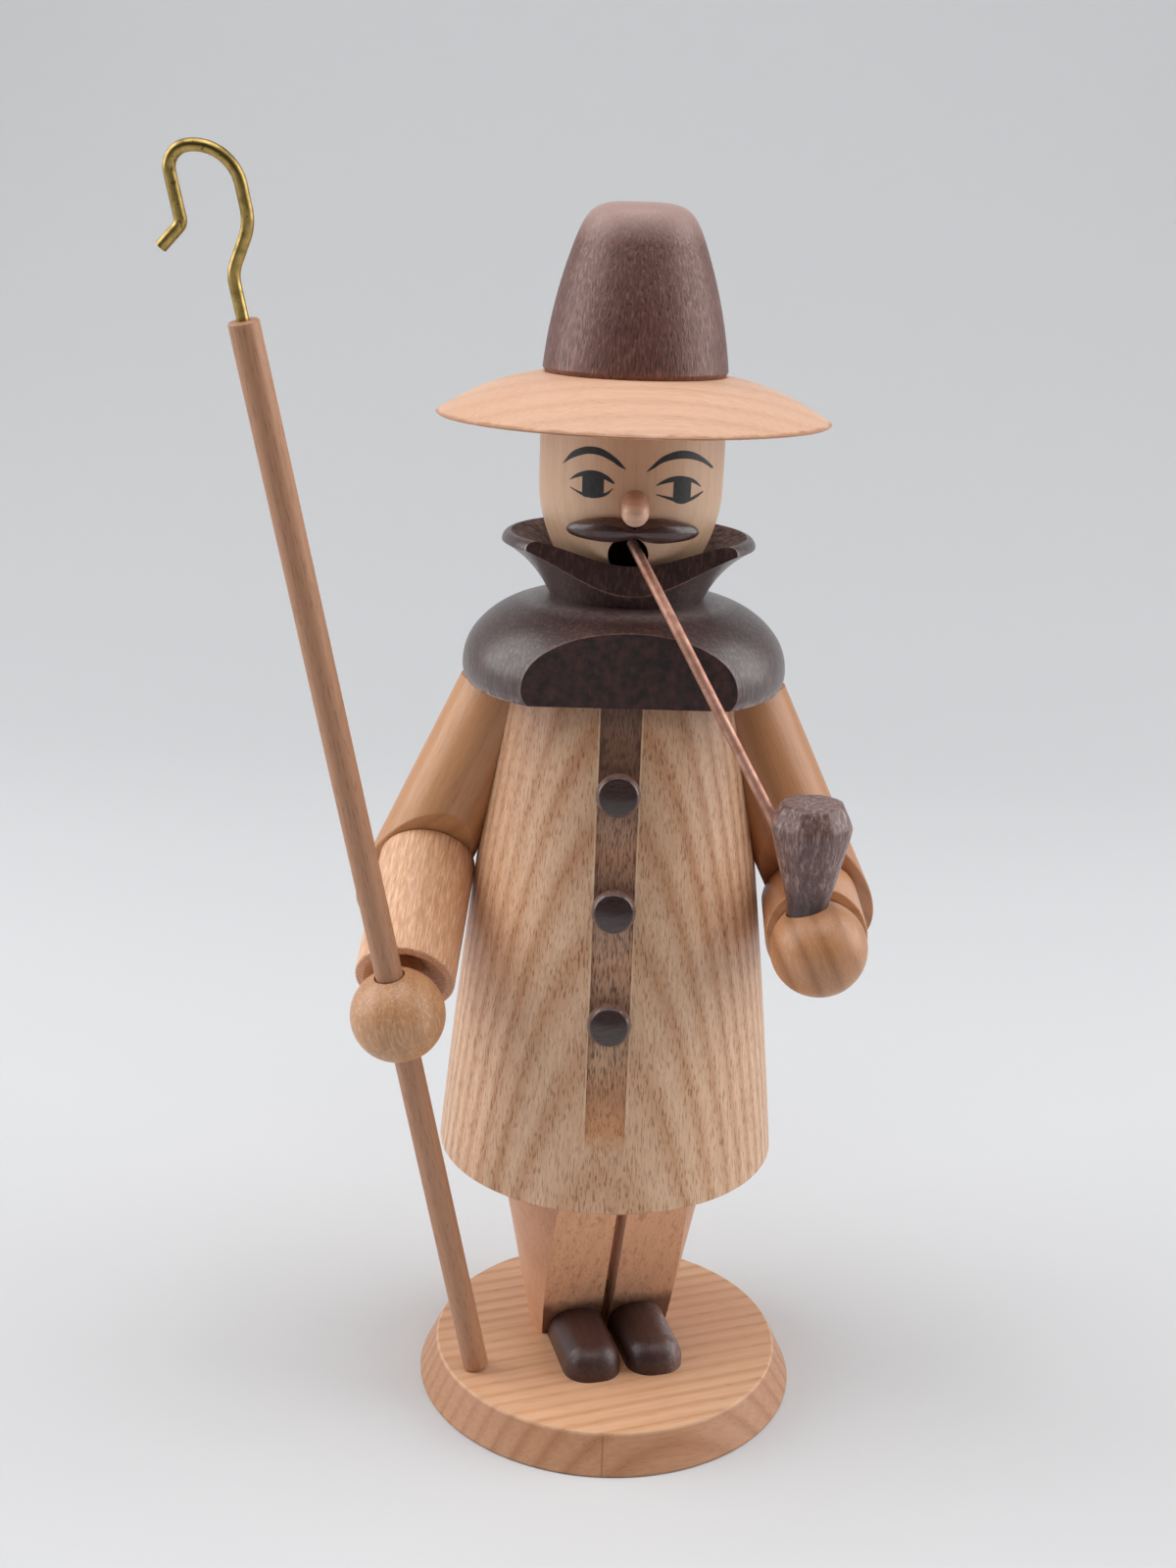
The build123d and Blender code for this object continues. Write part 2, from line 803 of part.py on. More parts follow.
staff_elbow = elbow_point(-1, staff_forearm_shift, staff_forearm_inset)
pipe_elbow = elbow_point(1, pipe_forearm_shift, pipe_forearm_inset)
staff_forearm_out = elbow_normal(-1)
pipe_forearm_out = Vector(
    -math.sin(pipe_turn) * math.cos(pipe_raise),
    -math.cos(pipe_turn) * math.cos(pipe_raise),
    math.sin(pipe_raise),
)
staff_cuff = staff_elbow + staff_forearm_out * forearm_length
pipe_cuff = pipe_elbow + pipe_forearm_out * forearm_length
staff_hand_middle = staff_cuff + staff_forearm_out * hand_stand_off
pipe_hand_middle = pipe_cuff + pipe_forearm_out * hand_stand_off
arms = (
    ("staff", -1, staff_elbow, staff_forearm_out, staff_cuff),
    ("pipe", 1, pipe_elbow, pipe_forearm_out, pipe_cuff),
)

for arm_name, sign, elbow, forearm_out, cuff in arms:
    normal = elbow_normal(sign)
    elbow_cut = Plane(elbow, x_dir=(sign, 0, 0), z_dir=normal)
    shoulder_hole = Plane(
        (sign * shoulder_dowel_root, figure_setback, shoulder_dowel_level),
        x_dir=(0, 1, 0),
        z_dir=(sign, 0, 0),
    )

    # Upper arm: a dowel cut level under the cape, coped to the coat and slanting at the elbow
    with BuildPart() as upper_arm:
        direction = arm_direction(sign)
        arm_start = shoulder_point(sign) - direction * arm_radius
        with BuildSketch(Plane(arm_start, x_dir=(0, 1, 0), z_dir=direction)):
            Circle(arm_radius)
        extrude(amount=upper_arm_length + arm_radius * 4)
        split(bisect_by=Plane.XY.offset(coat_top), keep=Keep.BOTTOM)
        split(bisect_by=elbow_cut, keep=Keep.BOTTOM)
        fillet(upper_arm.faces().sort_by_distance(elbow)[0].edges(), arm_edge_round)
        add(coat_blank.part, mode=Mode.SUBTRACT)
        with BuildSketch(shoulder_hole):
            Circle(arm_dowel_radius + glue_gap)
        extrude(amount=2 * arm_dowel_seat + glue_gap, mode=Mode.SUBTRACT)
        with Locations(elbow_cut):
            Hole(elbow_dowel_radius + glue_gap, depth=elbow_dowel_seat + glue_gap)
    save(upper_arm, f"{arm_name}_upper_arm")

    with BuildPart() as shoulder_dowel:
        with BuildSketch(shoulder_hole):
            Circle(arm_dowel_radius)
        extrude(amount=2 * arm_dowel_seat)
    save(shoulder_dowel, f"{arm_name}_shoulder_dowel")

    # Forearm: set on the slanting cut, just clear of the coat, with a flared cuff and a peg hole
    with BuildPart() as forearm:
        cuff_plane = Plane(cuff, x_dir=(sign, 0, 0), z_dir=forearm_out)
        with BuildSketch(cuff_plane):
            Circle(forearm_radius)
        extrude(amount=-((cuff - elbow).length + 2 * forearm_radius))
        split(bisect_by=elbow_cut, keep=Keep.TOP)
        fillet(forearm.edges().filter_by(GeomType.LINE, reverse=True), arm_edge_round)
        add(coat_blank.part, mode=Mode.SUBTRACT)
        with Locations(cuff_plane):
            CounterSinkHole(
                radius=wrist_peg_radius + glue_gap,
                counter_sink_radius=cuff_mouth_radius,
                depth=wrist_peg_seat + glue_gap,
                counter_sink_angle=cuff_flare,
            )
        with Locations(Plane(elbow, x_dir=(sign, 0, 0), z_dir=-normal)):
            Hole(elbow_dowel_radius + glue_gap, depth=elbow_dowel_seat + glue_gap)
    save(forearm, f"{arm_name}_forearm")

    with BuildPart() as elbow_dowel:
        with BuildSketch(Plane(elbow - normal * elbow_dowel_seat, x_dir=(sign, 0, 0), z_dir=normal)):
            Circle(elbow_dowel_radius)
        extrude(amount=2 * elbow_dowel_seat)
    save(elbow_dowel, f"{arm_name}_elbow_dowel")

# Staff: leans out and forward through the hand, its square foot just on the base
staff_up = Vector(
    -math.tan(math.radians(staff_lean_side)), -math.tan(math.radians(staff_lean_front)), 1
).normalized()
staff_foot_level = base_top + foot_clearance + staff_radius * math.sqrt(1 - staff_up.Z**2)
staff_foot = staff_hand_middle + staff_up * ((staff_foot_level - staff_hand_middle.Z) / staff_up.Z)
staff_top = staff_foot + staff_up * staff_length
staff_left = (Vector(-1, 0, 0) + staff_up * staff_up.X).normalized()

# Hands: balls with a wrist peg turned on
with BuildPart() as staff_hand:
    with Locations(staff_hand_middle):
        Sphere(hand_radius)
    with BuildSketch(Plane(staff_hand_middle, x_dir=(1, 0, 0), z_dir=-staff_forearm_out)):
        Circle(wrist_peg_radius)
    extrude(amount=hand_stand_off + wrist_peg_seat)
    with BuildSketch(Plane(staff_hand_middle, x_dir=staff_left, z_dir=staff_up)):
        Circle(staff_radius + staff_clearance)
    extrude(amount=hand_radius, both=True, mode=Mode.SUBTRACT)
save(staff_hand, "staff_hand")

with BuildPart() as staff_rod:
    with BuildSketch(Plane(staff_foot, x_dir=staff_left, z_dir=staff_up)):
        Circle(staff_radius)
    extrude(amount=staff_length)
    chamfer(staff_rod.edges().filter_by(GeomType.CIRCLE), staff_end_chamfer)
    with Locations(Plane(staff_top, x_dir=staff_left, z_dir=staff_up)):
        Hole(hook_wire_radius + glue_gap, depth=hook_seat + glue_gap)
save(staff_rod, "staff_rod")

# Hook: one bent wire in the plane of the staff, drawn as (outward, along the staff)
hook_plane = Plane(staff_top, x_dir=staff_left, z_dir=staff_left.cross(staff_up))
hook_fall_side = hook_span - hook_bow_out
with BuildPart() as staff_hook:
    with BuildLine(hook_plane) as hook_line:
        FilletPolyline(
            (0, -hook_seat),
            (0, hook_shank),
            (-hook_bow_out, hook_bow_start),
            (-hook_bow_out, hook_top),
            (hook_fall_side, hook_top),
            (hook_fall_side, hook_top - hook_fall),
            (hook_fall_side + hook_flick_out, hook_top - hook_fall - hook_flick_drop),
            radius=[hook_shank_bend, hook_bow_bend, hook_near_bend, hook_far_bend, hook_flick_bend],
        )
    with BuildSketch(Plane(staff_top - staff_up * hook_seat, x_dir=staff_left, z_dir=staff_up)):
        Circle(hook_wire_radius)
    sweep(path=hook_line.wire())
save(staff_hook, "staff_hook")

# Pipe bowl: an eight-sided tapered block with a bevelled rim and a round foot let into the hand
bowl_angle = math.radians(bowl_lean)
bowl_up = Vector(-math.sin(bowl_angle), 0, math.cos(bowl_angle))
bowl_across = Vector(math.cos(bowl_angle), 0, math.sin(bowl_angle))
bowl_middle = pipe_hand_middle + Vector(-bowl_inset, 0, 0)
bowl_foot = hand_radius - bowl_seat
bowl_widest = hand_radius + bowl_taper_height
bowl_taper = (bowl_radius - bowl_foot_radius) / bowl_taper_height

# Stem: from the top of the mouth, bent once, into the side of the bowl
stem_start = Vector(
    stem_mouth_side,
    figure_setback - head_chin_radius + stem_mouth_depth,
    mouth_level + stem_mouth_rise,
)
stem_entry = bowl_middle + bowl_up * (hand_radius + stem_entry_height)
stem_entry_radius = bowl_foot_radius + bowl_taper * stem_entry_height - stem_seat
stem_toward_mouth = Vector(stem_start.X - stem_entry.X, stem_start.Y - stem_entry.Y, 0).normalized()
stem_end = stem_entry + stem_toward_mouth * stem_entry_radius
stem_bend = (
    stem_start
    + (stem_end - stem_start) * stem_bend_share
    + Vector(0, -stem_bend_forward, stem_bend_rise)
)
stem_run_in = (stem_end - stem_bend).normalized()

bowl_widest_middle = bowl_middle + bowl_up * bowl_widest
bowl_bevel = math.degrees(math.atan((bowl_radius - bowl_top_radius) / bowl_bevel_height))
bowl_slope = math.degrees(math.atan((bowl_radius - bowl_waist_radius) / bowl_taper_height))
with BuildPart() as pipe_bowl:
    for bowl_way, amount, taper in ((1, bowl_bevel_height, bowl_bevel), (-1, bowl_taper_height, bowl_slope)):
        with BuildSketch(Plane(bowl_widest_middle, x_dir=bowl_across, z_dir=bowl_up * bowl_way)):
            RegularPolygon(bowl_radius, bowl_sides, major_radius=False, rotation=180 / bowl_sides)
        extrude(amount=amount, taper=taper)
    with BuildSketch(lathe_plane(bowl_middle, bowl_up, bowl_across)):
        with BuildLine():
            Polyline(
                (0, hand_radius),
                (bowl_foot_radius, hand_radius),
                (bowl_corner_radius, bowl_widest),
                (bowl_corner_radius, bowl_widest + bowl_bevel_height),
                (0, bowl_widest + bowl_bevel_height),
                close=True,
            )
        make_face()
    revolve(axis=Axis(bowl_middle, bowl_up), mode=Mode.INTERSECT)
    with BuildSketch(Plane(bowl_middle + bowl_up * bowl_foot, x_dir=bowl_across, z_dir=bowl_up)):
        Circle(bowl_foot_radius)
    extrude(amount=bowl_seat)
    with BuildSketch(Plane(stem_end, z_dir=-stem_run_in)):
        Circle(stem_radius + glue_gap)
    extrude(amount=bowl_radius + stem_seat, mode=Mode.SUBTRACT)
save(pipe_bowl, "pipe_bowl")

with BuildPart() as pipe_hand:
    with Locations(pipe_hand_middle):
        Sphere(hand_radius)
    with BuildSketch(Plane(pipe_hand_middle, x_dir=(1, 0, 0), z_dir=-pipe_forearm_out)):
        Circle(wrist_peg_radius)
    extrude(amount=hand_stand_off + wrist_peg_seat)
    with BuildSketch(Plane(bowl_middle + bowl_up * (bowl_foot - glue_gap), z_dir=bowl_up)):
        Circle(bowl_foot_radius + glue_gap)
    extrude(amount=hand_radius, mode=Mode.SUBTRACT)
save(pipe_hand, "pipe_hand")

with BuildPart() as pipe_stem:
    with BuildLine() as stem_line:
        FilletPolyline(stem_start, stem_bend, stem_end, radius=stem_bend_radius)
    with BuildSketch(Plane(stem_start, z_dir=stem_bend - stem_start)):
        Circle(stem_radius)
    sweep(path=stem_line.wire())
save(pipe_stem, "pipe_stem")

print("staff axis", staff_up, "foot", staff_foot, "top", staff_top)
print("pipe hand", pipe_hand_middle, "staff hand", staff_hand_middle)
print("levels", hem_level, coat_top, crease_level, head_seat, mouth_level, head_top, crown_top)
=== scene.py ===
import math

import bmesh
import bpy
from mathutils import Matrix, Vector
from mathutils.bvhtree import BVHTree


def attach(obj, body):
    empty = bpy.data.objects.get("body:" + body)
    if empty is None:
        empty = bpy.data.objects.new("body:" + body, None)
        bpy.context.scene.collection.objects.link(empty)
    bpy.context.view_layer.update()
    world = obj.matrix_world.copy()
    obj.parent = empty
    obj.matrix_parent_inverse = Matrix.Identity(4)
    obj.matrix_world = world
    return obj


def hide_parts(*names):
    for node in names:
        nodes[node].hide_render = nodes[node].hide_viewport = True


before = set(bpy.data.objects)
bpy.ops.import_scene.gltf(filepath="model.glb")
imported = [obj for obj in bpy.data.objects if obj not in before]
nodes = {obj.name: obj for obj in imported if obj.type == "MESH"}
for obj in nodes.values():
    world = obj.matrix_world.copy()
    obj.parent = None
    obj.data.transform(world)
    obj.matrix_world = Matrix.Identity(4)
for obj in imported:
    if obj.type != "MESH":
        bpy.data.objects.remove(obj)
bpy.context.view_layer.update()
scene = bpy.context.scene
mm = 0.001
hair = 0.01  # mm, the width of a blend that looks sharp
right, forward, up = Vector((1, 0, 0)), Vector((0, -1, 0)), Vector((0, 0, 1))
figureAxis = Vector((0, 7 * mm, 0))  # the figure stands behind the middle of the base


# the level direction at so many degrees from straight ahead
def heading(degrees):
    angle = math.radians(degrees)
    return Vector((math.sin(angle), -math.cos(angle), 0))


stanceTurn = 16  # degrees: legs and shoes stand turned under the coat
stanceWay = heading(stanceTurn)
stanceSide = heading(stanceTurn + 90)
faceWay = heading(3)  # face and cape cuts look a little past the button strip
print("frame loaded:", len(nodes), "pieces")


# sRGB hex to linear, the one place where colours are turned
def linear(code):
    channels = [int(code[i:i + 2], 16) / 255 for i in (1, 3, 5)]
    return [c / 12.92 if c <= 0.04045 else ((c + 0.055) / 1.055) ** 2.4 for c in channels] + [1.0]


def grey(level):
    return (level, level, level, 1.0)


# adds one node and gives back one of its sockets; inputs are numbers, colours or other sockets
def addNode(tree, kind, inputs=None, out=0, ramp=None, **settings):
    node = tree.nodes.new("ShaderNode" + kind)
    for name, value in settings.items():
        setattr(node, name, value)
    for key, value in (inputs or {}).items():
        if isinstance(value, bpy.types.NodeSocket):
            tree.links.new(value, node.inputs[key])
        else:
            node.inputs[key].default_value = value
    if ramp:
        stops = node.color_ramp.elements
        stops[0].position, stops[0].color = ramp[0]
        stops[-1].position, stops[-1].color = ramp[-1]
        for place, colour in ramp[1:-1]:
            stops.new(place).color = colour
    return node.outputs[out]


# goes from start to end between two levels along a direction, in mm
def fade(tree, place, way, low, high, start=0.0, end=1.0):
    reach = addNode(tree, "VectorMath", {0: place, 1: way}, "Value", operation="DOT_PRODUCT")
    return addNode(tree, "MapRange", {0: reach, 1: low * mm, 2: high * mm, 3: start, 4: end})


# the same to either side of a plane across a direction
def beside(tree, place, way, middle, low, high, start=0.0, end=1.0):
    reach = addNode(tree, "VectorMath", {0: place, 1: way}, "Value", operation="DOT_PRODUCT")
    offset = addNode(tree, "Math", {0: reach, 1: middle * mm}, operation="SUBTRACT")
    aside = addNode(tree, "Math", {0: offset}, operation="ABSOLUTE")
    return addNode(tree, "MapRange", {0: aside, 1: low * mm, 2: high * mm, 3: start, 4: end})


# goes from start to end as the surface turns towards a direction, between two cosines
def facing(tree, way, low, high, start=0.0, end=1.0):
    normal = addNode(tree, "NewGeometry", out="Normal")
    toward = addNode(tree, "VectorMath", {0: normal, 1: way}, "Value", operation="DOT_PRODUCT")
    return addNode(tree, "MapRange", {0: toward, 1: low, 2: high, 3: start, 4: end})


# the level arrow from the figure's axis to a point
def offAxis(tree, place):
    centred = addNode(tree, "VectorMath", {0: place, 1: figureAxis}, operation="SUBTRACT")
    return addNode(tree, "VectorMath", {0: centred, 1: (1, 1, 0)}, operation="MULTIPLY")


# a distance that wavers: size and depth of the waves in mm
def ragged(tree, place, reach, size, depth, detail):
    wave = addNode(tree, "TexNoise", {"Vector": place, "Scale": 1 / (size * mm), "Detail": detail})
    return addNode(tree, "Math", {0: wave, 1: depth * mm, 2: reach}, operation="MULTIPLY_ADD")


# noise drawn out along the third axis: width and length of its marks in mm
def streaks(tree, place, width, length, detail):
    fine = 1 / (width * mm)
    drawn = addNode(tree, "VectorMath", {0: place, 1: (fine, fine, 1 / (length * mm))}, operation="MULTIPLY")
    return addNode(tree, "TexNoise", {"Vector": drawn, "Scale": 1.0, "Detail": detail})


# lays a tone, a hex code or a socket, over a colour where every mask is white
def laid(tree, colour, tone, *masks, blend="MIX"):
    mask = masks[0]
    for other in masks[1:]:
        mask = addNode(tree, "Math", {0: mask, 1: other}, operation="MULTIPLY")
    over = linear(tone) if isinstance(tone, str) else tone
    return addNode(tree, "Mix", {0: mask, 6: colour, 7: over}, 2, data_type="RGBA", blend_type=blend)


def newMaterial(name):
    material = bpy.data.materials.new(name)
    material.use_nodes = True
    return material, material.node_tree, material.node_tree.nodes["Principled BSDF"]


# turned hardwood under lacquer: growth rings about a pith, fibres and open pores drawn out along the grain
# pith in metres; ring, waver, sizes, widths, lengths and groove in mm
woodLook = {
    "pith": (0, 0.05, 0), "grain": (0, 0, 1),
    "pale": "#dcbc97", "dark": "#b4875b", "pore": "#8a603d", "tint": "#d0a57c", "glint": "#f2d9bd",
    "ring": 2.7, "wander": 0.25, "waver": 25.0, "stretch": 0.12, "ringDepth": 0.7,
    "band": (0.1, 0.3, 0.62), "bandDepth": (0.08, 0.25, 1.0, 0.15, 0.08),
    "tintSize": 22.0, "tintDepth": 0.6, "tintRange": (0.4, 0.7),
    "fibreWidth": 0.5, "fibreLength": 18.0, "fibreDepth": 0.35, "fibreRange": (0.35, 0.7),
    "glintDepth": 0.0, "glintRange": (0.5, 0.32),
    "poreWidth": 0.28, "poreLength": 4.0, "poreStart": 0.56, "poreSoft": 0.12, "poreShare": 0.75,
    "poreSpread": 0.45,
    "roughness": 0.46, "roughRange": (0.3, 0.7), "roughSpread": (-0.05, 0.06), "bareRoughness": 0.25,
    "coat": 0.12, "coatRoughness": 0.3, "bump": 0.35, "fibreRelief": 0.25, "groove": 0.1,
    "ior": 1.5, "specular": 0.5, "sheen": "#ffffff",
}
waveLength = math.tau / 20  # metres, the wave texture's own length at scale 1


# a function passed in lays marks over the colour: stains and wear, and in places painted shade and
# highlights; dull says where the lacquer is missing
def wood(name, choices, overlay=None, dull=None):
    look = {**woodLook, **choices}
    material, tree, shader = newMaterial(name)
    turn = Vector(look["grain"]).to_track_quat("Z", "Y").to_euler()
    place = addNode(tree, "TexCoord", out="Object")
    board = addNode(tree, "Mapping", {"Vector": place, "Location": look["pith"], "Rotation": turn},
                    vector_type="TEXTURE")
    drawn = addNode(tree, "VectorMath", {0: board, 1: (1, 1, look["stretch"])}, operation="MULTIPLY")

    # growth rings
    ringScale = waveLength / (look["ring"] * mm)
    ring = addNode(tree, "TexWave",
                   {"Vector": drawn, "Scale": ringScale, "Distortion": look["wander"] * math.tau,
                    "Detail": 2.0, "Detail Scale": 1 / (look["waver"] * mm * ringScale)}, "Fac",
                   wave_type="RINGS", rings_direction="Z", wave_profile="SAW")
    spots = (0.0, *look["band"], 1.0)
    band = addNode(tree, "ValToRGB", {"Fac": ring},
                   ramp=[(spot, grey(depth)) for spot, depth in zip(spots, look["bandDepth"])])
    ringed = addNode(tree, "Math", {0: band, 1: look["ringDepth"]}, operation="MULTIPLY")
    colour = laid(tree, linear(look["pale"]), look["dark"], ringed)

    # slow changes of tone along the board
    low, high = look["tintRange"]
    tone = addNode(tree, "TexNoise", {"Vector": drawn, "Scale": 1 / (look["tintSize"] * mm), "Detail": 3.0})
    toneStep = addNode(tree, "MapRange", {0: tone, 1: low, 2: high, 4: look["tintDepth"]})
    colour = laid(tree, colour, look["tint"], toneStep)

    # fibres, dark and bright, and pores
    low, high = look["fibreRange"]
    fibre = streaks(tree, board, look["fibreWidth"], look["fibreLength"], 2.0)
    fibreStep = addNode(tree, "MapRange", {0: fibre, 1: low, 2: high, 4: look["fibreDepth"]})
    colour = laid(tree, colour, look["dark"], fibreStep)
    low, high = look["glintRange"]
    glintStep = addNode(tree, "MapRange", {0: fibre, 1: low, 2: high, 4: look["glintDepth"]})
    colour = laid(tree, colour, look["glint"], glintStep)
    pore = streaks(tree, board, look["poreWidth"], look["poreLength"], 1.0)
    low, high = look["poreStart"], look["poreStart"] + look["poreSoft"]
    poreCut = addNode(tree, "MapRange", {0: pore, 1: low, 2: high}, interpolation_type="SMOOTHSTEP")
    poreBand = addNode(tree, "MapRange", {0: band, 3: look["poreSpread"], 4: 1.0})
    poreMask = addNode(tree, "Math", {0: poreCut, 1: poreBand}, operation="MULTIPLY")
    colour = laid(tree, colour, look["pore"], poreMask, look["poreShare"])
    if overlay:
        colour = overlay(tree, place, colour)

    # pores are open grooves under the lacquer, and fibres change its gloss
    relief = addNode(tree, "Math", {0: fibre, 1: look["fibreRelief"]}, operation="MULTIPLY")
    height = addNode(tree, "Math", {0: relief, 1: poreMask}, operation="SUBTRACT")
    bump = addNode(tree, "Bump",
                   {"Height": height, "Strength": look["bump"], "Distance": look["groove"] * mm})
    low, high = look["roughRange"]
    smooth, dry = (look["roughness"] + spread for spread in look["roughSpread"])
    rough = addNode(tree, "MapRange", {0: fibre, 1: low, 2: high, 3: smooth, 4: dry})
    shader.inputs["Coat Weight"].default_value = look["coat"]
    if dull:
        bare = dull(tree, place)
        rough = addNode(tree, "Math", {0: bare, 1: look["bareRoughness"], 2: rough}, operation="MULTIPLY_ADD")
        thinned = addNode(tree, "MapRange", {0: bare, 3: look["coat"], 4: 0.0})
        tree.links.new(thinned, shader.inputs["Coat Weight"])
    tree.links.new(rough, shader.inputs["Roughness"])
    tree.links.new(bump, shader.inputs["Normal"])
    tree.links.new(colour, shader.inputs["Base Color"])
    shader.inputs["IOR"].default_value = look["ior"]
    shader.inputs["Specular IOR Level"].default_value = look["specular"]
    shader.inputs["Specular Tint"].default_value = linear(look["sheen"])
    shader.inputs["Coat Roughness"].default_value = look["coatRoughness"]
    return material


def dress(node, material):
    nodes[node].data.materials[0] = material


# directions all round an axis, from two that stand square to it
def spokesRound(over, rise, turns):
    angles = [math.tau * k / turns for k in range(turns)]
    return [over * math.cos(angle) + rise * math.sin(angle) for angle in angles]


# a closed form through a stack of rings of points
def lofted(name, rings, material):
    shape = bmesh.new()
    loops = [[shape.verts.new(point) for point in ring] for ring in rings]
    for here, there in zip(loops, loops[1:]):
        for k in range(len(here)):
            n = (k + 1) % len(here)
            shape.faces.new((here[k], here[n], there[n], there[k]))
    shape.faces.new(loops[0])
    shape.faces.new(loops[-1])
    bmesh.ops.recalc_face_normals(shape, faces=shape.faces)
    mesh = bpy.data.meshes.new(name)
    shape.to_mesh(mesh)
    shape.free()
    mesh.materials.append(material)
    piece = bpy.data.objects.new(name, mesh)
    scene.collection.objects.link(piece)
    return piece


# such a form, rounded by its shading, that stands for a CAD piece
def skinned(name, rings, node, body, material):
    piece = lofted(name, rings, material)
    for side in piece.data.polygons:
        side.use_smooth = True
    piece.data.set_sharp_from_angle(angle=math.radians(35))
    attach(piece, body)
    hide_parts(node)


# camera as fitted to the photograph: position in metres, angles in degrees
shot = {"place": (0, -0.34721, 0.22822), "pitch": 16.496, "yaw": 0.960, "roll": 2.044, "lens": 43.875,
        "sensor": 36,
        "nearest": 0.01}
pitch, yaw, roll = (math.radians(shot[k]) for k in ("pitch", "yaw", "roll"))
ahead = Vector((-math.sin(yaw) * math.cos(pitch), math.cos(yaw) * math.cos(pitch), -math.sin(pitch)))
level = Vector((math.cos(yaw), math.sin(yaw), 0))
upright = level.cross(ahead)
sideways = level * math.cos(roll) + upright * math.sin(roll)
upwards = upright * math.cos(roll) - level * math.sin(roll)
camera = bpy.data.objects.new("camera", bpy.data.cameras.new("camera"))
scene.collection.objects.link(camera)
camera.matrix_world = Matrix((
    (sideways.x, upwards.x, -ahead.x, shot["place"][0]),
    (sideways.y, upwards.y, -ahead.y, shot["place"][1]),
    (sideways.z, upwards.z, -ahead.z, shot["place"][2]),
    (0, 0, 0, 1),
))
camera.data.sensor_width = shot["sensor"]
camera.data.lens = shot["lens"]
camera.data.clip_start = shot["nearest"]
scene.camera = camera
scene.view_settings.view_transform = "Standard"

# base plate: quartered ash, straight stripes across the top and greyer end grain round the edge, partly
# painted shade
base = {
    "pith": (-0.298, 0.742, 0), "grain": (0.927, 0.375, 0), "ring": 3.6, "wander": 0.28, "ringDepth": 0.75,
    "pale": "#e6ba97", "dark": "#c08b61", "tint": "#dca984", "pore": "#a77853", "poreLength": 5.0,
    "poreWidth": 0.3,
    "poreShare": 0.45, "poreSpread": 0.3, "fibreWidth": 0.8, "fibreLength": 30.0, "fibreDepth": 0.3,
    "edgeSpan": (7.2, 6.8), "edgeGreyAndShade": "#ddcfc6",
    "seamPlace": 2.0, "seamWidth": 0.3, "seamShare": 0.6, "seam": "#7d5540",
}


# greyer end grain and painted shade below the top, and a glue seam at the front of the edge
def baseEdge(tree, place, colour):
    under = fade(tree, place, up, *base["edgeSpan"])
    colour = laid(tree, colour, base["edgeGreyAndShade"], under, blend="MULTIPLY")
    line = beside(tree, place, right, base["seamPlace"], 0.0, base["seamWidth"], base["seamShare"], 0.0)
    inFront = fade(tree, place, forward, 0.0, hair)
    return laid(tree, colour, base["seam"], line, inFront, under)


dress("base_plate", wood("quartered ash, matt lacquer", base, baseEdge))
print("base dressed")

# legs: flat-sawn beech with dark ray flecks on the sawn flats and a rub of stain above the shoes
legs = {
    "pith": (0.05, 0.06, 0), "ring": 3.2, "wander": 0.2, "ringDepth": 0.4, "pale": "#fac39c",
    "dark": "#dfa57c",
    "tint": "#edb28f", "pore": "#c48a66", "poreLength": 3.2, "poreWidth": 0.3, "poreShare": 0.4,
    "poreSpread": 0.9,
    "flatRange": (0.9, 0.94), "roundTone": "#d9d2d0",
    "fleck": "#b27c54", "fleckSize": (0.9, 0.9, 2.8), "fleckSlant": 32, "fleckRange": (0.55, 0.75),
    "fleckShare": 0.5,
    "smudge": "#6d4a38", "smudgeWave": (2.5, -3.0, 2.0), "smudgeSpan": (12.3, 15.3), "smudgeShare": 0.85,
    "kerfHalf": 1.3, "kerfFront": 0.5, "kerfShare": 0.6, "kerfTone": "#f0d8c6",
}


def legMarks(tree, place, colour):
    flat = facing(tree, stanceWay, *legs["flatRange"])
    turned = facing(tree, stanceWay, *legs["flatRange"], 1.0, 0.0)
    colour = laid(tree, colour, legs["roundTone"], turned, blend="MULTIPLY")
    slanted = addNode(tree, "Mapping", {"Vector": place, "Rotation": (0, math.radians(legs["fleckSlant"]), 0),
                                        "Scale": [1 / (size * mm) for size in legs["fleckSize"]]})
    fleck = addNode(tree, "TexNoise", {"Vector": slanted, "Scale": 1.0, "Detail": 1.0})
    low, high = legs["fleckRange"]
    spot = addNode(tree, "MapRange", {0: fleck, 1: low, 2: high, 4: legs["fleckShare"]})
    colour = laid(tree, colour, legs["fleck"], spot, flat)
    height = addNode(tree, "VectorMath", {0: place, 1: up}, "Value", operation="DOT_PRODUCT")
    wavering = ragged(tree, place, height, *legs["smudgeWave"])
    low, high = (limit * mm for limit in legs["smudgeSpan"])
    rub = addNode(tree, "MapRange", {0: wavering, 1: low, 2: high, 3: legs["smudgeShare"], 4: 0.0})
    colour = laid(tree, colour, legs["smudge"], rub, flat)
    middle, axis = (way.dot(figureAxis) / mm for way in (stanceSide, stanceWay))
    near = beside(tree, place, stanceSide, middle, legs["kerfHalf"], legs["kerfHalf"] + hair, 1.0, 0.0)
    inFront = fade(tree, place, stanceWay, axis, axis + legs["kerfFront"], 0.0, legs["kerfShare"])
    return laid(tree, colour, legs["kerfTone"], near, turned, inFront)


dress("leg_block", wood("beech, turned and sawn, matt lacquer", legs, legMarks))

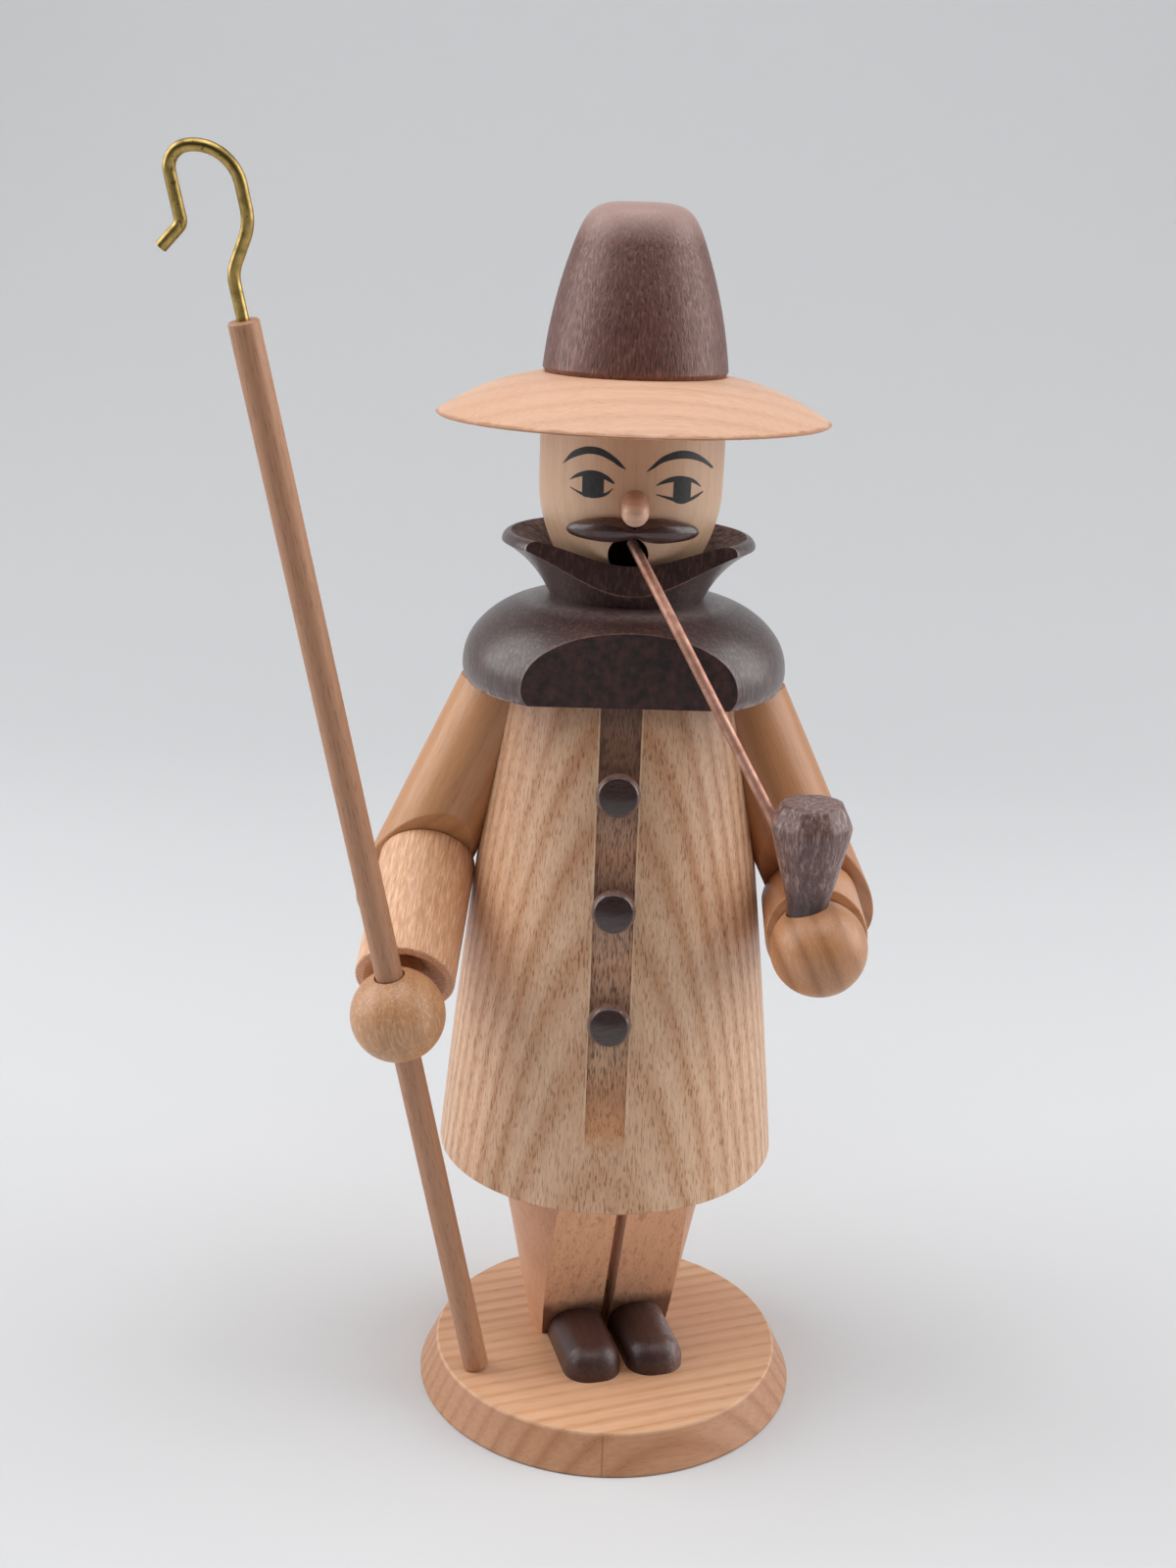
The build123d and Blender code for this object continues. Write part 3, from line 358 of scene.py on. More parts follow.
# dark stained beech: brown-black with a red tinge, fine streaks and a satin sheen
darkStain = {
    "pale": "#4a3230", "dark": "#2a1a19", "pore": "#1b1110", "tint": "#573c37", "ring": 1.6, "ringDepth": 0.5,
    "poreStart": 0.52, "poreShare": 0.6, "poreSpread": 0.8, "poreWidth": 0.22, "poreLength": 2.2,
    "fibreDepth": 0.5, "tintSize": 9.0, "tintDepth": 0.5, "roughness": 0.36, "coat": 0.35,
    "coatRoughness": 0.22,
    "bump": 0.4, "pith": (0.02, 0.05, 0), "rubRange": (0.35, 0.65),
}


# such a stain, rubbed pale in specks as it turns to or from a direction
def rubbed(way, look):
    def overlay(tree, place, colour):
        side = facing(tree, way, *look["rubSide"])
        fine = 1 / (look["rubSize"] * mm)
        speck = addNode(tree, "TexNoise", {"Vector": place, "Scale": fine, "Detail": 3.0})
        (low, high), (least, most) = look["rubRange"], look["rubShare"]
        patch = addNode(tree, "MapRange", {0: speck, 1: low, 2: high, 3: least, 4: most})
        return laid(tree, colour, look["rub"], side, patch)
    return overlay


# shoes: small loaves, domed all round, cut off against the slanting flats of the legs
shoes = {
    **darkStain, "pale": "#452b28", "tint": "#653d36", "grain": stanceWay, "roughness": 0.4, "coat": 0.3,
    "coatRoughness": 0.34, "rub": "#8f7772", "rubSide": (-0.05, 0.5), "rubSize": 0.9, "rubShare": (0.2, 0.75),
    "side": 1.0, "round": 0.84, "bow": 2.1, "levels": 14, "toeRound": 0.83, "toeSteps": 8, "leastBend": 0.1,
    "near": 0.05,
}
outerRub = rubbed(stanceSide, shoes)  # only the outer side of the right shoe is rubbed
for name, node, pith, overlay in (("leftShoe", "left_shoe", (0.02, 0.05, 0), None),
                                ("rightShoe", "right_shoe", (0.05, 0.03, -0.02), outerRub)):
    corners = [v.co for v in nodes[node].data.vertices]
    reach = [stanceWay.dot(c) for c in corners]
    sides = [stanceSide.dot(c) for c in corners]
    foot, top, toe = min(c.z for c in corners), max(c.z for c in corners), max(reach)
    half, middle = (max(sides) - min(sides)) / 2, (max(sides) + min(sides)) / 2
    heelLow = min(r for r, c in zip(reach, corners) if c.z < foot + shoes["near"] * mm)
    heelHigh = min(r for r, c in zip(reach, corners) if c.z > top - shoes["near"] * mm)
    tall, side = top - foot, shoes["side"] * mm
    rings = []
    for step in range(shoes["levels"] + 1):
        share = math.sin(math.pi / 2 * step / shoes["levels"])
        rise = side + (tall - side) * share if step else 0.0
        inset = half * shoes["round"] * (1 - (1 - share ** shoes["bow"]) ** (1 / shoes["bow"]))
        heel = heelLow + (heelHigh - heelLow) * rise / tall
        bend = max(half * shoes["toeRound"] - inset, shoes["leastBend"] * mm)
        wide, tip = half - inset, toe - inset
        plan = [(heel, -wide)]
        for sign in (-1, 1):
            for turn in range(shoes["toeSteps"] + 1):
                angle = math.pi / 2 * turn / shoes["toeSteps"]
                swing = math.pi / 2 - angle if sign < 0 else angle
                along = tip - bend + bend * math.cos(swing)
                across = wide - bend + bend * math.sin(swing)
                plan.append((along, sign * across))
        plan.append((heel, wide))
        rings.append([stanceWay * s + stanceSide * (middle + w) + up * (foot + rise) for s, w in plan])
    skinned(name, rings, node, "base",
            wood("dark stained beech, " + name, {**shoes, "pith": pith}, overlay))
print("legs and shoes dressed")

# coat: flat-sawn ash, nested arches of pores, with a stained strip milled down the front
coat = {
    "pith": (0, 0.11, 0), "ring": 2.5, "wander": 0.2, "ringDepth": 0.8, "band": (0.06, 0.33, 0.72),
    "fibreDepth": 0.4,
    "pale": "#eecbab", "dark": "#c08a60", "tint": "#e2b48f", "pore": "#96603c", "bump": 0.2,
    "poreShare": 0.85, "poreStart": 0.54, "poreLength": 3.2, "poreWidth": 0.26, "poreSpread": 0.5,
    "shadeSpan": (104, 140), "shade": "#e3dad4",
    # strip tones by level in mm: stain, darker just above each button, with painted shade at the top under
    # the cape
    "stripSide": (3.62, 3.76), "stripFront": (11.5, 12.5), "stripSpan": (60, 145), "stripTones": (
        (61, "#ffffff"), (65, "#ead0b8"), (73, "#f4e6da"), (81, "#fffaf6"), (90, "#d4cfd3"), (97, "#fcf7fc"),
        (103, "#faf4fa"), (111, "#bcb4b8"), (118, "#efe9ee"), (124, "#eee8ed"),
        (133, "#b0aab4"), (144, "#b2a9af")),
    "stripPore": "#4d372d", "stripPoreWidth": 0.3, "stripPoreLength": 3.4, "stripPoreCut": (0.52, 0.66),
    "stripPoreShare": 0.75, "stripPoreFoot": (69, 75),
    "lipPaleAndHighlight": "#ecd5b6", "lipSide": (3.7, 4.2), "lipFoot": (64, 68),
    "lip": ((0.1, 0.0), (0.25, 0.55), (0.5, 0.4), (0.9, 0.0)),
}


# painted shade deepening under the cape; the strip has its own run of stain and dark pores, and a pale lip at
# both sides of bare wood with a painted edge highlight
def stripStainAndShade(tree, place, colour):
    # painted shade: the coat darkens towards the cape
    shaded = fade(tree, place, up, *coat["shadeSpan"])
    colour = laid(tree, colour, coat["shade"], shaded, blend="MULTIPLY")
    within = beside(tree, place, right, 0.0, *coat["stripSide"], 1.0, 0.0)
    inFront = fade(tree, place, forward, *coat["stripFront"])
    low, high = coat["stripSpan"]
    stops = [((z - low) / (high - low), linear(tone)) for z, tone in coat["stripTones"]]
    overlay = addNode(tree, "ValToRGB", {"Fac": fade(tree, place, up, low, high)}, ramp=stops)
    colour = laid(tree, colour, overlay, within, inFront, blend="MULTIPLY")
    pore = streaks(tree, place, coat["stripPoreWidth"], coat["stripPoreLength"], 1.0)
    low, high = coat["stripPoreCut"]
    poreCut = addNode(tree, "MapRange", {0: pore, 1: low, 2: high, 4: coat["stripPoreShare"]})
    poreFoot = fade(tree, place, up, *coat["stripPoreFoot"])
    colour = laid(tree, colour, coat["stripPore"], poreCut, within, inFront, poreFoot)
    # pale lip: bare wood with a painted edge highlight
    beyond = beside(tree, place, right, 0.0, *coat["lipSide"])
    stops = [(spot, grey(share)) for spot, share in coat["lip"]]
    lip = addNode(tree, "ValToRGB", {"Fac": beyond}, ramp=stops)
    return laid(tree, colour, coat["lipPaleAndHighlight"], lip, inFront, fade(tree, place, up, *coat["lipFoot"]))


dress("coat", wood("flat-sawn ash, matt lacquer", coat, stripStainAndShade))

# buttons: turned knobs on the strip's floor, wider than it, with a side rubbed pale and a crisp turn
# to a dark face; side: radius and height of each turn of the profile
knobs = {
    **darkStain, "grain": (1, 0, 0.2), "roughness": 0.34, "coat": 0.6, "coatRoughness": 0.16,
    "pale": "#452f2d",
    "tint": "#543c38", "rub": "#8c6a5f", "rubSide": (0.8, 0.4), "rubSize": 0.7, "rubShare": (0.3, 0.8),
    "peg": 1.5, "pegLength": 4.0, "foot": 3.5, "footHeight": 0.95,
    "side": ((4.02, 1.25), (4.08, 1.5), (4.08, 1.8), (3.98, 2.3), (3.8, 2.8), (3.58, 3.2), (3.46, 3.34),
             (3.3, 3.43), (3.1, 3.46)),
    "dome": 0.4, "steps": 8, "turns": 48, "near": 0.05,
}
knobProfile = [(knobs["peg"], -knobs["pegLength"]), (knobs["peg"], 0), (knobs["foot"], 0),
               (knobs["foot"], knobs["footHeight"]), *knobs["side"]]
knobFace, knobTop = knobs["side"][-1]
for step in range(1, knobs["steps"]):
    share = 1 - step / knobs["steps"]
    knobProfile.append((knobFace * share, knobTop + knobs["dome"] * (1 - share ** 2)))

buttons = {"topButton": "button_top", "middleButton": "button_middle", "bottomButton": "button_bottom"}
for name, node in buttons.items():
    sides = nodes[node].data.polygons
    last = max(sides, key=lambda side: side.center.y)  # the flat end of the peg gives the button's axis
    out = -last.normal
    ends = [s for s in sides if abs((s.center - last.center).dot(out)) < knobs["near"] * mm]
    pegEnd = sum((s.center * s.area for s in ends), Vector()) / sum(s.area for s in ends)
    seat = pegEnd + out * knobs["pegLength"] * mm
    spokes = spokesRound(right, out.cross(right), knobs["turns"])
    rings = []
    for radius, height in knobProfile:
        rings.append([seat + out * height * mm + spoke * radius * mm for spoke in spokes])
    skinned(name, rings, node, "figure",
            wood("dark stained beech, " + name, knobs, rubbed(out, knobs)))
print("coat dressed")

# cape: the same stain rubbed thin along every cut edge under a painted edge highlight, dull and mottled on
# the cut flat and inside the collar
cape = {
    **darkStain, "pale": "#4a2e2c", "dark": "#2a1716", "tint": "#563836", "tintSize": 6.0, "tintDepth": 0.7,
    "coat": 0.6, "coatRoughness": 0.3, "roughness": 0.42, "glint": "#7d6761", "glintDepth": 0.4,
    "fibreLength": 5.0,
    "flatFront": 23.6, "cutNeck": 16.6, "cutRim": 14.0, "neckLevel": 160.8, "rimLevel": 170.7,
    "flatBlend": (-0.12, -0.04), "collarLow": 163.0, "hollow": (-1.0, -4.0),
    "mottle": 1.7, "mottleDark": "#221616", "mottlePale": "#472926", "mottleRange": (0.35, 0.65),
    "speck": 1.2, "hollowDark": "#33221f", "hollowPale": "#7d6863", "hollowRange": (0.35, 0.7),
    "patchRange": (0.4, 0.6), "patchShare": (0.35, 0.95),
    "wornHighlight": "#a37a6d", "edge": 0.4, "edgeStops": (0.0, 0.45, 0.9, 0.96), "flatWornHighlight": 0.35, "cutWornHighlight": 0.9,
    "creaseLevel": 160.1, "creaseHalf": 0.8, "creaseShare": 0.6, "creaseHighlight": "#9a8a86",
    "frost": "#9a8782", "frostSpan": (144.8, 146.2), "frostShare": 0.8, "frostRange": (0.42, 0.62),
    "frostFront": (-0.6, -0.3),
}
capeFront = faceWay.dot(figureAxis) / mm + cape["flatFront"]
cutLean = math.atan2(cape["cutNeck"] - cape["cutRim"], cape["rimLevel"] - cape["neckLevel"])
cutWay = faceWay * math.cos(cutLean) + up * math.sin(cutLean)
cutFront = cutWay.dot(figureAxis / mm + up * cape["neckLevel"] + faceWay * cape["cutNeck"])


# the hollow of the collar: what faces the axis, above the neck
def collarHollow(tree, place):
    normal = addNode(tree, "NewGeometry", out="Normal")
    spoke = offAxis(tree, place)
    outward = addNode(tree, "VectorMath", {0: spoke, 1: normal}, "Value", operation="DOT_PRODUCT")
    low, high = (limit * mm for limit in cape["hollow"])
    inside = addNode(tree, "MapRange", {0: outward, 1: low, 2: high})
    over = fade(tree, place, up, cape["collarLow"], cape["collarLow"] + hair)
    return addNode(tree, "Math", {0: inside, 1: over}, operation="MULTIPLY")


# the flat itself and the hollow of the collar, where no lacquer lies
def capeDull(tree, place):
    below = fade(tree, place, up, cape["neckLevel"] - hair, cape["neckLevel"], 1.0, 0.0)
    onFlat = fade(tree, place, faceWay, *(capeFront + blend for blend in cape["flatBlend"]))
    flat = addNode(tree, "Math", {0: below, 1: onFlat}, operation="MULTIPLY")
    return addNode(tree, "Math", {0: flat, 1: collarHollow(tree, place)}, operation="MAXIMUM")


def capeWearAndHighlights(tree, place, colour):
    low, high = cape["mottleRange"]
    blotch = addNode(tree, "TexNoise", {"Vector": place, "Scale": 1 / (cape["mottle"] * mm), "Detail": 3.0})
    mottled = addNode(tree, "ValToRGB", {"Fac": blotch},
                      ramp=[(low, linear(cape["mottleDark"])), (high, linear(cape["mottlePale"]))])
    colour = laid(tree, colour, mottled, capeDull(tree, place))
    low, high = cape["hollowRange"]
    speck = addNode(tree, "TexNoise", {"Vector": place, "Scale": 1 / (cape["speck"] * mm), "Detail": 3.0})
    speckled = addNode(tree, "ValToRGB", {"Fac": speck},
                       ramp=[(low, linear(cape["hollowDark"])), (high, linear(cape["hollowPale"]))])
    colour = laid(tree, colour, speckled, collarHollow(tree, place))

    # rubbed edges with a painted edge highlight: the flat's below the neck, the collar's above it
    (low, high), (least, most) = cape["patchRange"], cape["patchShare"]
    patch = addNode(tree, "MapRange", {0: speck, 1: low, 2: high, 3: least, 4: most})
    cuts = ((faceWay, capeFront, -1, cape["flatWornHighlight"]), (cutWay, cutFront, 1, cape["cutWornHighlight"]))
    for way, reach, side, share in cuts:
        line = fade(tree, place, way, reach - cape["edge"], reach)
        depths = [grey(depth) for depth in (0, share, share, 0)]
        edge = addNode(tree, "ValToRGB", {"Fac": line}, ramp=list(zip(cape["edgeStops"], depths)))
        zone = fade(tree, place, up, cape["neckLevel"], cape["neckLevel"] + side)
        colour = laid(tree, colour, cape["wornHighlight"], edge, zone, patch)

    # a painted highlight along the crease at the neck, and frost on the turned rim
    crease = beside(tree, place, up, cape["creaseLevel"], 0.0, cape["creaseHalf"], cape["creaseShare"], 0.0)
    colour = laid(tree, colour, cape["creaseHighlight"], crease, patch)
    rimFoot = fade(tree, place, up, *cape["frostSpan"], cape["frostShare"], 0.0)
    turned = fade(tree, place, faceWay, *(capeFront + blend for blend in cape["frostFront"]), 1.0, 0.0)
    low, high = cape["frostRange"]
    frosted = addNode(tree, "MapRange", {0: speck, 1: low, 2: high})
    return laid(tree, colour, cape["frost"], rimFoot, frosted, turned)


dress("cape", wood("dark stained beech, cape and collar", cape, capeWearAndHighlights, capeDull))
print("cape dressed")

# head: pale lime, close grain
head = {
    "pale": "#dcb899", "dark": "#c79f80", "tint": "#d2ad8e", "pore": "#bb9171", "poreShare": 0.3, "ring": 1.8,
    "ringDepth": 0.35, "fibreDepth": 0.25, "roughness": 0.42, "coat": 0.15,
    "frontShade": "#e6c6b2", "frontRange": (0.86, 1.0), "frontShare": 0.45,
    "mouthLevel": 170.5, "mouthRim": (3.61, 3.7), "mouthFront": (-4.0, -3.8), "mouthPaint": "#0b0909",
}


# painted shade, a little darker and pinker in front, and black inside the mouth hole
def faceShadeAndMouth(tree, place, colour):
    frontal = facing(tree, faceWay, *head["frontRange"], 0.0, head["frontShare"])
    colour = laid(tree, colour, head["frontShade"], frontal, blend="MULTIPLY")
    middle = addNode(tree, "VectorMath", {0: place, 1: up * head["mouthLevel"] * mm}, operation="SUBTRACT")
    flatOn = addNode(tree, "VectorMath", {0: middle, 1: (1, 0, 1)}, operation="MULTIPLY")
    reach = addNode(tree, "VectorMath", {0: flatOn}, "Value", operation="LENGTH")
    low, high = (limit * mm for limit in head["mouthRim"])
    inside = addNode(tree, "MapRange", {0: reach, 1: low, 2: high, 3: 1.0, 4: 0.0})
    return laid(tree, colour, head["mouthPaint"], inside, fade(tree, place, forward, *head["mouthFront"]))


dress("head", wood("turned lime, matt lacquer", head, faceShadeAndMouth))

# moustache: the dark stain a little browner, with a smoother gloss
moustache = {**darkStain, "grain": (1, 0.05, 0), "pale": "#50302b", "tint": "#5c3a33", "roughness": 0.3,
             "coat": 0.5}
dress("moustache", wood("dark stained beech, moustache", moustache))
solid = bmesh.new()
solid.from_mesh(nodes["head"].data)
headSkin = BVHTree.FromBMesh(solid)
solid.free()

# nose: pinkish pear, satin; a drooping peg with straight sides and a round end, coped to the head
nose = {
    "pale": "#e4b79c", "dark": "#cf9f85", "tint": "#dbaa8f", "pore": "#b98462", "poreShare": 0.3, "ring": 1.5,
    "grain": faceWay, "roughness": 0.38, "coat": 0.25, "rootShade": "#c9bbb5", "rootSpan": (3.4, 0.6),
    "droop": 28, "peg": 1.2, "pegLength": 4.0, "pegHole": 1.3, "radius": 2.45, "glue": 0.05, "steps": 10,
    "turns": 40,
    "near": 0.02, "castFrom": 10.0,
}
droop = math.radians(nose["droop"])
noseWay = faceWay * math.cos(droop) - up * math.sin(droop)
noseSide = noseWay.cross(up).normalized()
spokes = spokesRound(noseSide, noseSide.cross(noseWay), nose["turns"])
reach = [noseWay.dot(v.co) for v in nodes["nose"].data.vertices]
pegFace = [s for s in nodes["nose"].data.polygons if noseWay.dot(s.center) < min(reach) + nose["near"] * mm]
pegEnd = sum((s.center * s.area for s in pegFace), Vector()) / sum(s.area for s in pegFace)
noseRoot = pegEnd + noseWay * nose["pegLength"] * mm


# a ring of the nose where it meets the head, just clear of its skin
def copedRing(radius, castRadius):
    ring = []
    for spoke in spokes:
        start = noseRoot + spoke * castRadius * mm + noseWay * nose["castFrom"] * mm
        touch = headSkin.ray_cast(start, -noseWay)[0]
        depth = (touch - noseRoot).dot(noseWay) + nose["glue"] * mm
        ring.append(noseRoot + spoke * radius * mm + noseWay * depth)
    return ring


# painted shade, darker towards the root
def noseShade(tree, place, colour):
    start = noseWay.dot(noseRoot) / mm
    deep = fade(tree, place, noseWay, *(start + limit for limit in nose["rootSpan"]))
    return laid(tree, colour, nose["rootShade"], deep, blend="MULTIPLY")


rings = [[pegEnd + s * nose["peg"] * mm for s in spokes], copedRing(nose["peg"], nose["pegHole"]),
         copedRing(nose["radius"], nose["radius"])]
straight = (max(reach) - noseWay.dot(noseRoot)) / mm - nose["radius"]
for step in range(nose["steps"]):
    angle = math.pi / 2 * step / nose["steps"]
    wide, far = nose["radius"] * math.cos(angle), straight + nose["radius"] * math.sin(angle)
    rings.append([noseRoot + s * wide * mm + noseWay * far * mm for s in spokes])
skinned("roundNose", rings, "nose", "figure",
        wood("turned pear, satin lacquer", nose, noseShade))

# painted brows and eyes: stations along each brush stroke, each with its degrees from the front
# and the levels of the stroke's lower and upper edge in mm
strokes = {
    "browLeft": [(-45.8, 186.14, 186.26), (-39.4, 187.18, 188.28), (-32.2, 188.01, 189.33),
                 (-25.9, 188.42, 189.70), (-18.9, 188.24, 189.55), (-12.2, 187.46, 188.61),
                 (-7.3, 186.58, 187.50), (-3.1, 186.04, 186.12)],
    "browRight": [(9.1, 185.75, 185.84), (13.7, 186.49, 187.30), (18.2, 187.35, 188.41),
                  (24.8, 187.91, 189.23), (32.0, 188.07, 189.50), (40.1, 187.81, 189.09),
                  (48.4, 187.10, 188.05), (56.7, 186.04, 186.65), (59.1, 185.87, 186.16)],
    "upperLidLeft": [(-39.7, 183.46, 183.60), (-34.9, 184.01, 184.67), (-29.3, 184.46, 185.33),
                     (-24.7, 184.68, 185.57), (-19.4, 184.61, 185.46), (-14.3, 183.95, 184.85),
                     (-11.3, 183.57, 184.18), (-9.8, 183.46, 183.70)],
    "lowerLidLeft": [(-39.3, 182.10, 182.27), (-34.1, 181.46, 181.79), (-29.1, 180.90, 181.45),
                     (-23.3, 180.68, 181.37), (-17.9, 180.94, 181.55), (-13.7, 181.52, 182.05),
                     (-10.6, 182.58, 182.79)],
    "pupilLeft": [(-30.4, 181.18, 184.90), (-29.4, 180.84, 185.02), (-26.3, 180.73, 185.26),
                  (-23.1, 180.74, 185.34), (-19.9, 180.88, 185.27), (-17.4, 181.08, 185.04),
                  (-16.2, 181.40, 184.87)],
    "upperLidRight": [(15.3, 183.35, 183.52), (19.5, 183.69, 184.32), (24.6, 183.96, 184.90),
                      (30.9, 184.15, 185.05), (37.9, 183.91, 184.69), (42.7, 183.45, 184.07),
                      (47.2, 182.87, 183.05)],
    "lowerLidRight": [(15.5, 181.75, 181.92), (20.3, 181.26, 181.65), (25.7, 180.71, 181.32),
                      (31.9, 180.08, 180.92), (38.1, 180.38, 181.08), (44.1, 181.00, 181.61),
                      (49.7, 181.87, 182.15)],
    "pupilRight": [(26.5, 180.82, 184.41), (27.4, 180.50, 184.57), (29.9, 180.20, 184.74),
                   (32.9, 180.06, 184.76), (36.3, 180.21, 184.62), (39.0, 180.57, 184.40)],
}
paint = {"colour": "#1b1a1b", "sheen": "#2a2a2c", "sheenRange": (0.35, 0.7), "streak": 0.8,
         "roughRange": (0.3, 0.7),
         "roughness": (0.42, 0.55), "steps": 4, "rows": 6, "proud": 0.04, "pupilProud": 0.06, "sunk": 0.15,
         "castFrom": 50.0}

enamel, tree, shader = newMaterial("black enamel, brushed on")  # dull black with faint brush streaks
place = addNode(tree, "TexCoord", out="Object")
streak = addNode(tree, "TexNoise", {"Vector": place, "Scale": 1 / (paint["streak"] * mm), "Detail": 3.0})
low, high = paint["sheenRange"]
black = addNode(tree, "ValToRGB", {"Fac": streak},
                ramp=[(low, linear(paint["colour"])), (high, linear(paint["sheen"]))])
(low, high), (smooth, dry) = paint["roughRange"], paint["roughness"]
dull = addNode(tree, "MapRange", {0: streak, 1: low, 2: high, 3: smooth, 4: dry})
tree.links.new(black, shader.inputs["Base Color"])
tree.links.new(dull, shader.inputs["Roughness"])


# a point over the head's skin at an angle and a level
def onHead(angle, height, proud):
    way = heading(angle)
    start = figureAxis + up * height * mm + way * paint["castFrom"] * mm
    return headSkin.ray_cast(start, -way)[0] + way * proud * mm


# a smooth run of stations through the given ones
def smoothed(stations, steps):
    run = []
    last = len(stations) - 1
    for i in range(last):
        around = [stations[min(max(k, 0), last)] for k in range(i - 1, i + 3)]
        before, here, there, after = (Vector(station) for station in around)
        square = 2 * before - 5 * here + 4 * there - after
        cube = 3 * here - before - 3 * there + after
        for step in range(steps):
            t = step / steps
            run.append(0.5 * (2 * here + (there - before) * t + square * t ** 2 + cube * t ** 3))
    run.append(Vector(stations[-1]))
    return run


for name, stations in strokes.items():
    proud = paint["pupilProud"] if "pupil" in name else paint["proud"]
    rings = []
    for angle, low, high in smoothed(stations, paint["steps"]):
        rows = [low + (high - low) * r / (paint["rows"] - 1) for r in range(paint["rows"])]
        rings.append([onHead(angle, z, proud) for z in rows]
                     + [onHead(angle, z, -paint["sunk"]) for z in (rows[-1], rows[0])])
    mark = lofted(name, rings, enamel)
    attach(mark, "figure")
print("face painted")

# hat brim: pink beech, matt, with a darker chipped edge
brim = {
    "pith": (0, 0.02, 0.25), "grain": (1, 0.1, 0), "ring": 4.5, "wander": 0.2, "ringDepth": 0.45,
    "pale": "#e5bb9e",
    "dark": "#d09c7b", "tint": "#dcab8c", "pore": "#b67f5d", "poreLength": 2.5, "poreWidth": 0.22,
    "poreShare": 0.4,
    "chip": (3.5, 1.2, 2.0), "chipSpan": (36.0, 36.5), "chipShare": 0.75, "chipTone": "#a9714a",
}


def brimEdge(tree, place, colour):
    reach = addNode(tree, "VectorMath", {0: offAxis(tree, place)}, "Value", operation="LENGTH")
    low, high = (limit * mm for limit in brim["chipSpan"])
    chipped = addNode(tree, "MapRange",
                      {0: ragged(tree, place, reach, *brim["chip"]), 1: low, 2: high, 4: brim["chipShare"]})
    return laid(tree, colour, brim["chipTone"], chipped)


# hat crown: dull stained beech, rubbed a little brown at its foot, with a painted highlight on top
crown = {
    **darkStain, "pale": "#67413c", "dark": "#432624", "tint": "#744b44", "pore": "#2e1918", "ringDepth": 0.2,
    "poreWidth": 0.3, "poreLength": 2.6, "poreSpread": 1.0, "fibreWidth": 0.4, "fibreLength": 4.0,
    "glint": "#a9857b", "glintDepth": 0.3, "roughness": 0.47, "coat": 0.15, "coatRoughness": 0.3,
    "specular": 0.78,
    "sheen": "#ffdfd2", "tintSize": 12.0,
    "footWorn": "#a9704a", "footWave": (3.5, -4.4, 3.0), "footSpan": (198.8, 200.8), "footShare": 0.25,
    "topHighlight": "#b89a93", "topHighlightSpan": (224, 230), "topHighlightShare": 0.8,
}


def crownWearAndHighlight(tree, place, colour):
    height = addNode(tree, "VectorMath", {0: place, 1: up}, "Value", operation="DOT_PRODUCT")
    low, high = (limit * mm for limit in crown["footSpan"])
    footRub = addNode(tree, "MapRange", {0: ragged(tree, place, height, *crown["footWave"]), 1: low, 2: high,
                                         3: crown["footShare"], 4: 0.0})
    colour = laid(tree, colour, crown["footWorn"], footRub)
    # painted highlight: paler towards the top
    topSheen = fade(tree, place, up, *crown["topHighlightSpan"], 0.0, crown["topHighlightShare"])
    return laid(tree, colour, crown["topHighlight"], topSheen)


dress("hat_brim", wood("turned beech, matt lacquer", brim, brimEdge))
dress("hat_crown", wood("dull stained beech, hat crown", crown, crownWearAndHighlight))
print("hat dressed")

# arms and hands: honey-brown cherry, fine grain, satin; each piece has its own board
arm = {"pale": "#cb9466", "dark": "#b07c51", "tint": "#bf875d", "pore": "#97653f", "poreShare": 0.45,
       "ring": 3.5,
       "fibreWidth": 0.35, "fibreLength": 12.0, "roughness": 0.4, "coat": 0.2}
armBoards = {
    "staff_upper_arm": {"grain": (-0.4289, 0, -0.9033), "pith": (-0.01, 0.03, 0.1)},
    "pipe_upper_arm": {"grain": (0.4289, 0, -0.9033), "pith": (0.01, 0.03, 0.1), "pale": "#c08659",
                       "dark": "#a77046", "tint": "#b57a51"},
    "staff_forearm": {"grain": (-0.048, -0.865, -0.5), "pith": (-0.02, 0.03, 0.13), "pale": "#efbb94",
                      "dark": "#c99168", "tint": "#e2ac84", "pore": "#b37e58", "ring": 3.0, "ringDepth": 0.25,
                      "fibreDepth": 0.7, "fibreLength": 3.5, "glint": "#ffdcbc", "glintDepth": 0.5,
                      "poreLength": 2.0},
    "pipe_forearm": {"grain": (-0.043, -0.994, 0.101), "pith": (0.05, 0.03, 0.13), "pale": "#d39a70",
                     "dark": "#b57e54"},
    "staff_hand": {"grain": (-0.17, -0.12, 0.978), "pith": (-0.07, -0.03, 0.08), "pale": "#cc986e",
                   "dark": "#ab7850", "tint": "#bd895f", "ring": 3.0, "ringDepth": 0.35, "poreLength": 2.0,
                   "fibreLength": 3.0, "glint": "#e8bd94", "glintDepth": 0.45},
    "pipe_hand": {"grain": (-0.42, 0.1, 0.9), "pith": (0.3, -0.01, 0.2), "pale": "#ce966b", "dark": "#a06942",
                  "tint": "#bd855a", "ring": 3.8, "ringDepth": 0.9},
}
for node, own in armBoards.items():
    dress(node, wood("cherry, " + node.replace("_", " "), {**arm, **own}))

# staff: pinkish beech dowel with short dark flecks; the hidden dowels are bare beech
staff = {"grain": (-0.175844, -0.153148, 0.972432), "pith": (-0.05, 0.0, 0.1), "pale": "#c08d6b",
         "dark": "#a67352",
         "tint": "#b58361", "pore": "#7d5137", "poreLength": 3.0, "poreShare": 0.65, "poreWidth": 0.3,
         "ring": 2.2}
dress("staff_rod", wood("beech dowel, matt lacquer", staff))
dowel = {"roughness": 0.6, "coat": 0.0}
for node in ("hat_dowel", "leg_dowel", "pipe_elbow_dowel", "pipe_shoulder_dowel", "staff_elbow_dowel",
             "staff_shoulder_dowel"):
    dress(node, wood("bare beech, " + node, dowel))
print("arms and staff dressed")

